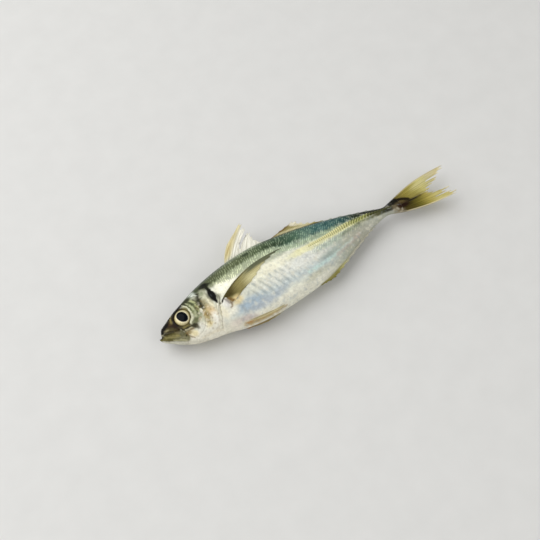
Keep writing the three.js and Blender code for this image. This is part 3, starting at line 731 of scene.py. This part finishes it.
# ------------------------------------------------------------------------------------------------ eyes
# Each eye is a clear-faced ball in a shallow socket, with a blue-black pupil pushed a little forward and
# a broad cream-gold iris. It looks squarely out of the head, and is made from a ball drawn into a lens.
EYE_ALONG, EYE_HEIGHT, EYE_RADIUS = 17.1, 1.15, 6.1
EYE_DEPTH, EYE_SINK = 3.4, 1.9  # of the ball's outer half, and of its centre below the skin
PUPIL_RIM = 0.6  # as a share of the eye's radius


def from_pupil(x, y):
    """Where a point of the eye's face lies from the middle of the pupil, which is set forward and leans."""
    return (x + y * 0.2 - 0.04) * 1.13, (y + 0.06) * 0.87


def eye_surface():
    """A dark lens and a pale iris with a metal gleam, under one clear wet coat."""
    material, shader, start = surface(
        "wet_eye", Coat_Weight=0.12, Coat_Roughness=0.08, Coat_IOR=1.3, Specular_IOR_Level=0.04)
    face = start.node("UVMap", {"uv_map": "face"}, {})
    x, y = face.split(0, 1)

    def distance(a, b):
        return a.math("SQRT", a * a + b * b)

    grain = noise_on(face, 7.0, 4.0)
    reach = distance(x * 1.09, y + 0.07) + grain * 0.06 - 0.03
    pupil = distance(*from_pupil(x, y)) + grain * 0.04 - 0.02
    threads = reach.node("CombineXYZ", {}, {0: x.math("ARCTAN2", y, x) * 5, 1: reach * 3})
    thread = noise_on(threads, 2.2, 3.0).ease(0.3, 0.7)
    ground = {0: thread, 6: (*tone(188, 178, 132), 1), 7: (*tone(228, 218, 178), 1)}
    colour = thread.node("Mix", {"data_type": "RGBA"}, ground, 2)
    for shade, amount in (
        ((242, 234, 204), pupil.ease(0.56, 0.74, 1.0, 0.0) * 0.8),
        # the top of the iris darkened with painted shade
        ((150, 148, 108), y.ease(0.35, 0.95) * 0.55),
        ((140, 124, 70), reach.ease(0.76, 0.92) * 0.9),
        ((40, 32, 14), reach.ease(0.87, 0.99)),
        ((6, 8, 15), pupil.ease(0.57, 0.63, 1.0, 0.0)),
    ):
        colour = colour.toward((*tone(*shade), 1), amount)
    colour.feed(shader, "Base Color")
    (pupil.ease(0.57, 0.66) * 0.25).feed(shader, "Metallic")
    pupil.ease(0.57, 0.66, 0.16, 0.36).feed(shader, "Roughness")
    return material


wet_eye = eye_surface()


def make_eye(name, side):
    slope_along = (flank(EYE_ALONG + 2, EYE_HEIGHT) - flank(EYE_ALONG - 2, EYE_HEIGHT)) / 4
    slope_up = (flank(EYE_ALONG, EYE_HEIGHT + 2) - flank(EYE_ALONG, EYE_HEIGHT - 2)) / 4
    gaze = np.array([-slope_along, -slope_up, 1])
    gaze /= np.linalg.norm(gaze)
    ahead = np.cross([0, 1, 0], gaze)
    ahead /= np.linalg.norm(ahead)
    upward = np.cross(gaze, ahead)
    bm = bmesh.new()
    bmesh.ops.create_uvsphere(bm, u_segments=72, v_segments=64, radius=1)
    x, y, depth = np.array([v.co for v in bm.verts]).T
    pupil = np.hypot(*from_pupil(x, y))
    lens = 0.03 * np.sqrt(np.clip(1 - (pupil / PUPIL_RIM) ** 2, 0, 1))
    groove = 0.015 * hump(pupil - 0.62, 0.05)
    depth = np.where(depth > 0, depth * EYE_DEPTH / EYE_RADIUS + lens - groove, depth * 0.5)
    centre = np.array([EYE_ALONG, EYE_HEIGHT, float(flank(EYE_ALONG, EYE_HEIGHT))]) - gaze * EYE_SINK
    at = centre + EYE_RADIUS * (x[:, None] * ahead + y[:, None] * upward + depth[:, None] * gaze)
    points = lay(at[:, 0], at[:, 1], side * at[:, 2])
    layer = bm.loops.layers.uv.new("face")
    for face in bm.faces:
        for loop in face.loops:
            loop[layer].uv = loop.vert.co.xy
    eye = finished(name, bm, pressed(points, 0.05), wet_eye)
    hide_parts(name)


make_eye("eye_left", 1)
make_eye("eye_right", -1)

# -------------------------------------------------------------------------------- plates of the side line
# Hard keeled plates run along the side line from behind the trunk's middle to the root of the tail, each
# lapping the next like a roof tile. Each is a small curved sheet with its front edge under the skin.
FIRST_PLATE, LAST_PLATE = 113.0, 181
PLATE_THICKNESS = 0.16
FRONT_UNDER = 0.35  # how deep a plate's front edge lies under the skin


def plate_surface():
    """Horny yellow-olive plate, darker at its front and with a pale keel."""
    material, shader, start = surface(
        "horny_plate", Coat_Roughness=0.2, Coat_IOR=1.34, Coat_Weight=0.08, Specular_IOR_Level=0.12)
    place = start.node("TexCoord", {}, {}, "Object")
    pigment = start.node("Attribute", {"attribute_name": "pigment"}, {}, "Color")
    grain = noise_on(place, 1300.0, 3.0)
    pigment.scaled(0.8 + grain * 0.35).feed(shader, "Base Color")
    (0.3 + grain * 0.2).feed(shader, "Roughness")
    bump_from(grain, 0.3, 0.0002).feed(shader, "Normal")
    return material


horny_plate = plate_surface()


def plate_pitch(along):
    """The step from one plate to the next."""
    return 1.5 + 0.75 * smoothstep(along, 125, 155) - 0.5 * smoothstep(along, 168, 182)


def plate_colour(centre, u, across, grown):
    """A plate's pigment, darkening towards the tail: dark in front, partly painted shade under the plate
    before it, and pale behind with a painted highlight on its raised rear.
    """
    coat = Pigment(u, across, (218, 214, 160))
    coat.wash((150, 156, 86), smoothstep(centre, 132, 154))
    # painted shade at the front, under the plate before, and a painted highlight on the raised rear
    coat.wash((66, 68, 34), fade(u, 0.3, 0.62) * (0.3 + 0.7 * grown))
    coat.wash((236, 234, 170), smoothstep(u, 0.6, 0.95) * (0.75 - 0.45 * smoothstep(centre, 148, 160)))
    coat.wash((62, 64, 32), smoothstep(centre, 158, 164.5) * 0.9)
    coat.wash((70, 82, 46), smoothstep(across, 0.0, 0.5) * between(centre, 147, 155.5, 2) * 0.85)
    coat.wash((218, 220, 160), smoothstep(across, 0.45, 0.9) * between(centre, 157, 161.5, 1.5) * 0.8)
    return coat.colour


def make_scutes(name, side):
    row = bmesh.new()
    layer = row.verts.layers.float_color.new("pigment")
    centre = FIRST_PLATE
    while centre < LAST_PLATE:
        plate, u, v = grid(5, 8)
        pitch = plate_pitch(centre)
        across = 2 * v - 1
        grown = smoothstep(centre, 108, 140)
        tall = (0.8 + 1.5 * grown) * (1 - 0.72 * smoothstep(centre, 157, 174))
        slant = 0.15 + 0.75 * smoothstep(centre, 138, 156)
        along = centre + pitch * (1.5 * u - 0.7 - 0.35 * across**2 * u) + slant * across * tall
        height = side_line(along) + across * tall * (1 - 0.12 * u)
        keel = (0.1 + 0.34 * grown) * hump(across, 0.2) * u
        stand = ridge(along, height) - FRONT_UNDER + 0.62 * np.sqrt(u) + keel - 0.3 * across**4
        points = pressed(lay(along, height, side * (flank(along, height) + stand)), 0.02)
        corner = {}
        for vert, point, shade in zip(plate.verts, points, plate_colour(centre, u, across, grown)):
            corner[vert] = row.verts.new(point)
            corner[vert][layer] = (*shade, 1)
        for face in plate.faces:
            row.faces.new([corner[vert] for vert in face.verts])
        plate.free()
        centre += pitch
    bmesh.ops.recalc_face_normals(row, faces=row.faces)
    points = np.array([v.co for v in row.verts])
    piece = finished(name, row, points, horny_plate, seams=1e-9)
    wall = piece.modifiers.new("thickness", "SOLIDIFY")
    wall.thickness, wall.offset = PLATE_THICKNESS * MM, 0
    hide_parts("fish")


make_scutes("scutes_left", 1)
make_scutes("scutes_right", -1)

# ------------------------------------------------------------------------------------------------ fins
# A fin is bony rays with thin skin stretched between them, torn here and there. Each is a fine sheet
# drawn over its rays, as thick as a ray along each ray and as thin as skin between, with its root sunk
# in the flesh.
def fin_surface():
    """Thin wet fin skin, streaked along its branching rays."""
    material, shader, start = surface("fin_skin", Coat_Roughness=0.22, Coat_IOR=1.34, Specular_IOR_Level=0.09)
    spread = start.node("UVMap", {"uv_map": "rays"}, {})
    pigment = start.node("Attribute", {"attribute_name": "pigment"}, {}, "Color")
    across, outward = spread.split(0, 1)
    drawn_out = spread.node("Mapping", {}, {"Vector": spread, "Scale": (9.0, 1.6, 1.0)})
    fine = noise_on(drawn_out, 1.0, 4.0, 0.6)
    branches = across.math("SINE", across * (2 * math.pi * 3) + fine * 2.5) * 0.5 + 0.5
    branches = branches * outward.ease(0.15, 0.6, 0.35, 1.0)
    joints = across.math("SINE", outward * 420 + fine * 6) * 0.5 + 0.5
    dark = pigment.tinted((0.62, 0.6, 0.5))
    pale = pigment.tinted((1.12, 1.12, 1.08), (0.05, 0.048, 0.03))
    colour = pigment.toward(dark, fine.ease(0.56, 0.36) * 0.5)
    colour.toward(pale, branches * fine.ease(0.4, 0.6) * 0.55).feed(shader, "Base Color")
    (0.36 + fine * 0.2).feed(shader, "Roughness")
    (fine * 0.16).feed(shader, "Coat Weight")
    bump_from(branches + joints * 0.12 + fine * 0.6, 0.5, 0.00022).feed(shader, "Normal")
    return material


fin_skin = fin_surface()
ROOT_DEPTH = 2.4  # how deep a ray's foot sits in the flesh


def make_fin(name, rays, out, paint, ray_thick=0.9, web_thick=0.3, ray_width=0.13, steps=10, rows=64,
             side=1, ragged=0.03):
    """Rays are (foot, tip, bow, web): two points, how far the ray bows forwards, and how far along its
    length the skin behind it reaches. The paint is told at which ray each corner is, how far out along
    it, and how near to one."""
    bm, u, v = grid((len(rays) - 1) * steps, rows)
    ray = u * (len(rays) - 1)
    k = np.clip(np.floor(ray + 1e-6).astype(int), 0, len(rays) - 2)
    f = ray - k
    foot, tip, bow, web = (np.array(part, float) for part in zip(*rays))
    near_ray = np.minimum(f, 1 - f)
    gap = smoothstep(near_ray, 0.7 * ray_width, 2.0 * ray_width)
    wisp = np.array([noise.noise(Vector((x * 3.7, len(rays), 0.5))) for x in ray])
    t = v * (1 - (1 - web[k]) * gap - ragged * (0.6 + 0.8 * wisp) * gap)

    def on_ray(i):
        run = tip[i] - foot[i]
        bend = 4 * t * (1 - t) * bow[i] / np.hypot(run[:, 0], run[:, 1])
        return foot[i, 0] + run[:, 0] * t - run[:, 1] * bend, foot[i, 1] + run[:, 1] * t + run[:, 0] * bend

    (a0, h0), (a1, h1) = on_ray(k), on_ray(k + 1)
    along, height = a0 + (a1 - a0) * f, h0 + (h1 - h0) * f
    ripple = clouds(np.stack([ray * 2, t * 6, 0 * t], -1) * MM, 1.0, 8)
    points = pressed(lay(along, height, side * (out(along, height, t) + 0.12 * ripple)), 0.45)
    coat = Pigment(along, height, (228, 224, 200))
    paint(coat, ray, t, near_ray)
    spread = bm.loops.layers.uv.new("rays")
    where = {vert: (x, y) for vert, x, y in zip(bm.verts, ray, t)}
    for face in bm.faces:
        for loop in face.loops:
            loop[spread].uv = where[loop.vert]
    share = bm.verts.layers.deform.verify()
    thickness = hump(near_ray, ray_width) * (1 - 0.55 * t) + 0.5 * fade(t, 0, 0.25)
    for vert, weight in zip(bm.verts, np.clip(thickness, 0, 1)):
        vert[share][0] = float(weight)
    piece = finished(name, bm, points, fin_skin, [("pigment", np.clip(coat.colour, 0, 1))])
    piece.vertex_groups.new(name="rays")
    wall = piece.modifiers.new("thickness", "SOLIDIFY")
    wall.thickness, wall.offset = ray_thick * MM, 0
    wall.vertex_group, wall.thickness_vertex_group = "rays", web_thick / ray_thick
    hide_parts("fish")


# ------------------------------------------------------------------------------------ first dorsal fin
# The tall first dorsal fin stands up on stiff spines, its cream skin torn deep behind the sixth. The
# first spines are yellow-brown, and all are set in the back.
def first_dorsal_paint(coat, ray, t, near_ray):
    coat.wash((248, 246, 234), smoothstep(ray, 1.2, 2.0))
    coat.wash((226, 214, 166), fade(ray, 1.2, 2.4) * smoothstep(t, 0.05, 0.3) * 0.9)
    coat.wash((190, 166, 104), between(ray, 0.3, 0.9, 0.3) * between(t, 0.35, 0.65, 0.12) * 0.8)
    coat.wash((206, 196, 152), between(ray, 1.6, 2.2, 0.3) * smoothstep(t, 0.2, 0.5) * 0.6)
    coat.wash((190, 184, 162), fade(near_ray, 0.03, 0.12) * smoothstep(ray, 1.5, 2.5) * 0.5)
    # painted shade along the fin's root at the back
    coat.wash((196, 197, 182), fade(t, 0.1, 0.24) * 0.6)


make_fin(
    "first_dorsal",
    [
        ((foot, float(back(foot)) - ROOT_DEPTH), tip, bow, web)
        for foot, tip, bow, web in (
            (60.6, (70.6, 33.2), 0.9, 0.99), (62.8, (86.2, 42.6), 1.8, 0.98), (64.8, (87.0, 41.2), 1.2, 0.91),
            (67.4, (87.0, 38.6), 1.2, 0.97), (70, (87.8, 38.0), 1.4, 0.96), (72.4, (87.0, 37.0), 2.4, 0.34),
            (74.8, (87.4, 33.2), 1.9, 0.95), (78, (88.6, 33.0), 1.2, 0.92), (82, (88.0, 29.8), 0.6, 0.90),
            (86, (88.8, 26.2), 0.3, 0.9), (90.6, (93, 22.6), 0.0, 0.9))
    ],
    lambda along, height, t: 0.35 * np.sin(along * 0.6) * t,
    first_dorsal_paint, web_thick=0.4,
)


# ----------------------------------------------------------------------------------- second dorsal fin
# The second dorsal fin is low and folded back, with a pale tip at its front and a fringe to the tail.
# Its rays are olive skin over soft bone, set in the back one behind the other.
def second_dorsal_paint(coat, ray, t, near_ray):
    stand = coat.height - back(coat.along)
    coat.wash((164, 152, 98), smoothstep(t, 0.1, 0.4))
    coat.wash((112, 88, 48), smoothstep(t, 0.5, 0.8) * between(coat.along, 98, 113, 4) * 0.85)
    coat.wash((222, 214, 172), between(stand, 0.8, 2.4, 0.6) * between(coat.along, 103, 126, 4) * 0.8)
    coat.patch((244, 239, 222), (116.8, 24.4), (3.8, 2.2), -30, 0.5)
    coat.patch((226, 218, 184), (123, 20.8), (7, 1.4), -22, 0.6)
    # painted shadow where the fin's foot meets the back
    coat.wash((50, 64, 48), fade(stand, 0.4, 1.3) * 0.9)
    coat.wash((176, 184, 172), smoothstep(coat.along, 130, 138) * 0.8)


def folded(line, direction, rays):
    """Rays folded back along the line of the back or belly, from (foot, tip, stand, bow, web): where each
    starts and ends along the fish, and how far its tip stands off that line."""

    def beside(along, stand):
        return along, float(line(along)) + direction * stand

    return [(beside(foot, -ROOT_DEPTH), beside(tip, stand), bow, web) for foot, tip, stand, bow, web in rays]


make_fin(
    "second_dorsal",
    folded(back, 1, [
        (92.5, 97, 0.6, 0, 0.95), (94, 101.6, 2.0, 0, 0.95), (95.6, 106.6, 3.8, 0, 0.94),
        (98, 111.4, 5.2, 0, 0.93), (101, 115, 6.4, 0.2, 0.92), (103.6, 117.6, 7.8, 0.4, 0.94),
        (106.6, 119.6, 6.6, 0.3, 0.92), (110, 122.6, 4.4, 0.2, 0.92), (113, 126.4, 2.9, 0, 0.93),
        (118, 130.4, 2.0, 0, 0.93), (124, 135.6, 1.4, 0, 0.93), (130, 141.5, 1.1, 0, 0.92),
        (137, 148, 0.9, 0, 0.92), (144, 154.5, 0.8, 0, 0.92), (150, 160, 0.8, 0, 0.92),
        (156, 165.5, 0.7, 0, 0.92), (161, 171, 0.5, 0, 0.92)]),
    lambda along, height, t: 0.3 * t * np.sin(along * 0.35),
    second_dorsal_paint, steps=8, rows=28,
)


# -------------------------------------------------------------------------------------------- anal fin
# The anal fin is the same on the underside, lower still and partly folded into its groove, with an
# olive front and a pale rear.
def anal_paint(coat, ray, t, near_ray):
    coat.wash((186, 182, 128), smoothstep(t, 0.1, 0.4))
    coat.wash((136, 130, 70), fade(coat.along, 122, 130) * smoothstep(t, 0.4, 0.8))
    coat.wash((196, 194, 176), smoothstep(coat.along, 128, 138))


make_fin(
    "anal_fin",
    folded(belly, -1, [
        (104, 109, 0.7, 0, 0.94), (106.5, 112.4, 1.3, 0, 0.94), (109, 116, 2.2, 0, 0.94),
        (111.5, 120, 2.8, 0, 0.93), (115, 124, 2.6, 0, 0.92), (119, 128.6, 2.3, 0, 0.9),
        (124, 134, 2.0, 0, 0.9), (130, 140, 1.8, 0, 0.88), (136, 146, 1.6, 0, 0.88),
        (142, 151, 1.4, 0, 0.86), (148, 156, 1.2, 0, 0.86), (154, 161, 0.9, 0, 0.86),
        (158, 164, 0.6, 0, 0.86)]),
    lambda along, height, t: 0.25 * t * np.sin(along * 0.4 + 1),
    anal_paint, steps=8, rows=24,
)


# --------------------------------------------------------------------------------------- pectoral fins
# A pectoral fin is a long sickle laid back over the flank from its fleshy root behind the gill cover,
# brown-gold in front and pale towards its tip and its lower edge.
def pectoral_paint(coat, ray, t, near_ray):
    along, height = coat.along, coat.height
    coat.wash((150, 140, 88))
    coat.wash((176, 169, 122), smoothstep(along, 58, 68))
    coat.wash((214, 207, 158), smoothstep(along, 60, 70) * smoothstep(ray, 2.5, 4.5))
    coat.wash((74, 64, 26), fade(along, 50, 59) * smoothstep(height, -6.5, -4))
    coat.wash((92, 84, 42), fade(ray, 0.4, 1.6) * fade(along, 60, 72))
    # the upper rays greyed with painted shade along the fin's upper margin
    coat.wash((102, 107, 82), smoothstep(along, 62, 72) * fade(ray, 1.8, 3.4))
    coat.wash((214, 212, 176), smoothstep(along, 74, 84) * smoothstep(ray, 2.4, 3.6))
    coat.patch((234, 214, 160), (53, -8.6), (3.6, 2.6), 0, 0.6)
    root = (along - 43.8) * 0.79 + (height + 4) * 0.61  # distance from the line of the rays' feet
    # the brown root deepened with painted shade, and a grey-purple band of painted shade where the fin rises
    # from its pale root
    coat.wash((124, 92, 44), between(root, 1.7, 3.7, 0.7) * fade(height, -6, -3.6) * 0.85)
    coat.wash((150, 138, 128), between(root, 0.7, 1.7, 0.5) * 0.85)
    coat.wash((222, 219, 212), fade(root, 0.3, 1.0))


for pectoral, flip in (("pectoral_left", 1), ("pectoral_right", -1)):
    make_fin(
        pectoral,
        [
            ((43.8, -4), (96.2, 7.4), 4.6, 0.97), ((44.3, -4.7), (91.5, 6.9), 3.9, 0.97),
            ((44.8, -5.3), (86.8, 5.7), 3.2, 0.97), ((45.3, -5.9), (81.5, 4.2), 2.4, 0.97),
            ((45.8, -6.5), (77, 2.0), 1.7, 0.97), ((46.3, -7.1), (72.5, -0.4), 1.1, 0.96),
            ((46.8, -7.8), (67, -2.8), 0.6, 0.96), ((47.3, -8.5), (61.5, -4.4), 0.2, 0.95),
            ((47.8, -9.2), (56.5, -6.4), 0, 0.95),
        ],
        lambda along, height, t: (
            flank(along, height) + 0.15 + 0.45 * smoothstep(t, 0, 0.2) - 0.3 * smoothstep(t, 0.5, 1)),
        pectoral_paint, ray_thick=0.7, web_thick=0.34, rows=90, side=flip,
    )


# ----------------------------------------------------------------------------------------- pelvic fins
# The pelvic fins are short and folded back against the belly, a yellow-brown blade on each side that is
# fixed at its front end.
def pelvic_paint(coat, ray, t, near_ray):
    coat.wash((196, 184, 140), smoothstep(t, 0.05, 0.3) * 0.9)
    coat.wash((178, 152, 96), smoothstep(ray, 1.6, 3.2) * 0.8)
    coat.wash((216, 210, 182), fade(near_ray, 0.05, 0.2) * 0.35)
    coat.wash((178, 136, 84), fade(t, 0.12, 0.3) * smoothstep(ray, 0.6, 2) * 0.8)


def on_the_belly(along, height, t):
    return flank(along, np.maximum(height, belly(along) + 2.2)) - 0.25 + 0.25 * smoothstep(t, 0, 0.2)


for pelvic, flip in (("pelvic_left", 1), ("pelvic_right", -1)):
    make_fin(
        pelvic,
        [
            ((49.5, -21.8), (79, -25.0), -0.3, 0.97), ((50, -22.3), (78, -25.6), -0.4, 0.97),
            ((50.5, -22.8), (75, -26.1), -0.4, 0.96), ((51.2, -23.3), (71, -26.4), -0.3, 0.95),
            ((52, -23.8), (66, -26.4), -0.2, 0.95),
        ],
        on_the_belly, pelvic_paint, ray_thick=0.7, rows=48, side=flip,
    )


# -------------------------------------------------------------------------------------------- tail fin
# The forked tail fin is stiff at its two outer margins and split between the rays at its rear edge. Its
# skin runs from a dark root to clear yellow, and its rays are set in the end of the backbone.
TAIL_RAYS = [
    ((180, 2.4), (230.9, 8.3), 2.7, 0.99), ((181.2, 2.1), (230.0, 6.6), 2.1, 0.97),
    ((182.4, 1.4), (225.6, 4.9), 1.0, 0.80), ((183.6, 0.8), (222.9, 2.9), 0.9, 0.98),
    ((184.6, 0.2), (221.4, 1.5), 0.6, 0.87), ((185.2, -0.4), (217.2, 0.6), 0.4, 0.91),
    ((185.6, -1.0), (213.6, -1.6), 0.1, 0.93), ((185.8, -1.8), (210.6, -3.4), 0, 0.95),
    ((185.6, -2.6), (213.8, -5.3), 0, 0.9), ((185.2, -3.2), (219, -7.0), -0.3, 0.86),
    ((184.6, -3.7), (225.8, -7.9), -0.6, 0.93), ((184, -4.1), (221, -9.6), -1.0, 0.80),
    ((183, -4.4), (224.4, -11.2), -1.5, 0.95), ((181.6, -4.6), (228, -13.2), -2.1, 0.97),
    ((180, -4.7), (226.8, -14.6), -2.6, 0.9),
]


def tail_paint(coat, ray, t, near_ray):
    along, height = coat.along, coat.height
    upper = smoothstep(height, -3.4, -1.6)
    coat.run(
        [(188, (116, 104, 54)), (196, (156, 143, 68)), (203, (178, 167, 92)), (209, (208, 200, 128)),
         (216, (202, 194, 144))],
        upper)
    # the lower lobe, its darker root partly its own colour and partly painted shadow cast by the upper lobe
    # over the fold
    coat.run(
        [(188, (72, 60, 22)), (196, (82, 73, 20)), (202, (122, 113, 40)), (208, (178, 164, 84)),
         (214, (200, 190, 124))],
        1 - upper)
    coat.patch((214, 206, 150), (208, 4.4), (6, 2.0), 6, 0.7, 0.7)
    coat.patch((124, 110, 42), (204, -1.2), (6, 0.7), -4, 0.7, 0.5)
    margin = np.minimum(ray, len(TAIL_RAYS) - 1 - ray)
    coat.wash((222, 212, 178), fade(margin, 0.15, 0.6) * smoothstep(along, 184, 194) * 0.9)
    coat.wash((214, 202, 164), between(along, 216, 232, 3) * smoothstep(height, 4, 6) * 0.6)
    coat.wash((206, 190, 124), smoothstep(t, 0.84, 0.96) * 0.6)
    coat.wash((240, 232, 204), smoothstep(t, 0.9, 0.98) * smoothstep(along, 217, 224) * 0.8)
    # painted shadow in the fold between the lobes
    coat.streak((28, 18, 4), [(187.6, 2.4), (192, 1.0), (196, -1)], (2.4, 1.8), 1.3)
    coat.streak((36, 27, 3), [(193.6, -1.7), (198, -2.7), (204.6, -2.9)], (3.0, 1.2), 2.0)
    coat.streak((104, 90, 34), [(203, -2.9), (209, -3.1)], (1.6, 0.8), 1.8, 0.7)
    coat.patch((98, 82, 54), (190.6, -0.6), (3.8, 1.0), -22, 0.6, 0.85)
    coat.wash((26, 21, 8), fade(along, 183, 189) * smoothstep(height, -0.2, 1.0) * fade(height, 3, 4.4))
    coat.wash((168, 160, 140), fade(along, 184, 191) * fade(height, -5.4, -4.2))
    coat.patch((40, 18, 7), (190.8, -3.3), (4.0, 1.9), -8, 0.6)


def tail_spread(along, height, t):
    return 0.14 * np.abs(height + 1.8) * smoothstep(along, 184, 200) + 0.2 * t * np.sin(height * 1.3)


make_fin(
    "tail_fin", TAIL_RAYS, tail_spread, tail_paint,
    ray_thick=1.2, web_thick=0.34, ray_width=0.15, rows=90, ragged=0.05,
)

# ---------------------------------------------------------------------------------------------- studio
# The fish lies on a plain pale table under soft lamps: a broad one above and behind its back, a weaker
# one from the front, and pale surroundings. The camera looks down on its left flank from the head's end.
def table_surface():
    material, shader, start = surface("pale_table", Roughness=0.75)
    place = start.node("TexCoord", {}, {}, "Object")
    shades = {0: noise_on(place, 60.0, 3.0), 6: (*tone(214, 214, 212), 1), 7: (*tone(222, 222, 220), 1)}
    place.node("Mix", {"data_type": "RGBA"}, shades, 2).feed(shader, "Base Color")
    return material


bm = bmesh.new()
bmesh.ops.create_grid(bm, x_segments=1, y_segments=1, size=2.0)
mesh = bpy.data.meshes.new("table")
bm.to_mesh(mesh)
bm.free()
mesh.materials.append(table_surface())
table = bpy.data.objects.new("table", mesh)
bpy.context.collection.objects.link(table)


def soft_lamp(name, place, size, power):
    lamp = bpy.data.lights.new(name, "AREA")
    lamp.shape, lamp.size, lamp.energy = "DISK", size, power
    stand = bpy.data.objects.new(name, lamp)
    stand.location = place
    stand.rotation_euler = (-Vector(place)).to_track_quat("-Z", "Y").to_euler()
    bpy.context.collection.objects.link(stand)


soft_lamp("broad_lamp", (-0.80, 0.66, 1.10), 2.0, 20.0)
soft_lamp("front_lamp", (0.30, -0.90, 0.90), 0.9, 2.0)
world = bpy.data.worlds.new("pale_room")
world.use_nodes = True
room = world.node_tree.nodes["Background"].inputs
room["Color"].default_value = (0.98, 0.97, 0.95, 1)
room["Strength"].default_value = 0.5
bpy.context.scene.world = world
bpy.context.scene.view_settings.view_transform = "Standard"

AZIMUTH, ELEVATION, DISTANCE = math.radians(-32.73), math.radians(61), 0.7409
AIM_ALONG, AIM_HEIGHT = 88.9, 8.15
lens = bpy.data.cameras.new("camera")
lens.lens, lens.sensor_width = 73.33, 36
camera = bpy.data.objects.new("camera", lens)
bpy.context.collection.objects.link(camera)
away = Vector((
    math.sin(AZIMUTH) * math.cos(ELEVATION),
    -math.cos(AZIMUTH) * math.cos(ELEVATION),
    math.sin(ELEVATION)))
aim = Vector(((SNOUT_X + AIM_ALONG) * MM, (SNOUT_Y + AIM_HEIGHT) * MM, 0))
camera.location = aim + away * DISTANCE
camera.rotation_euler = away.to_track_quat("Z", "Y").to_euler()
bpy.context.scene.camera = camera
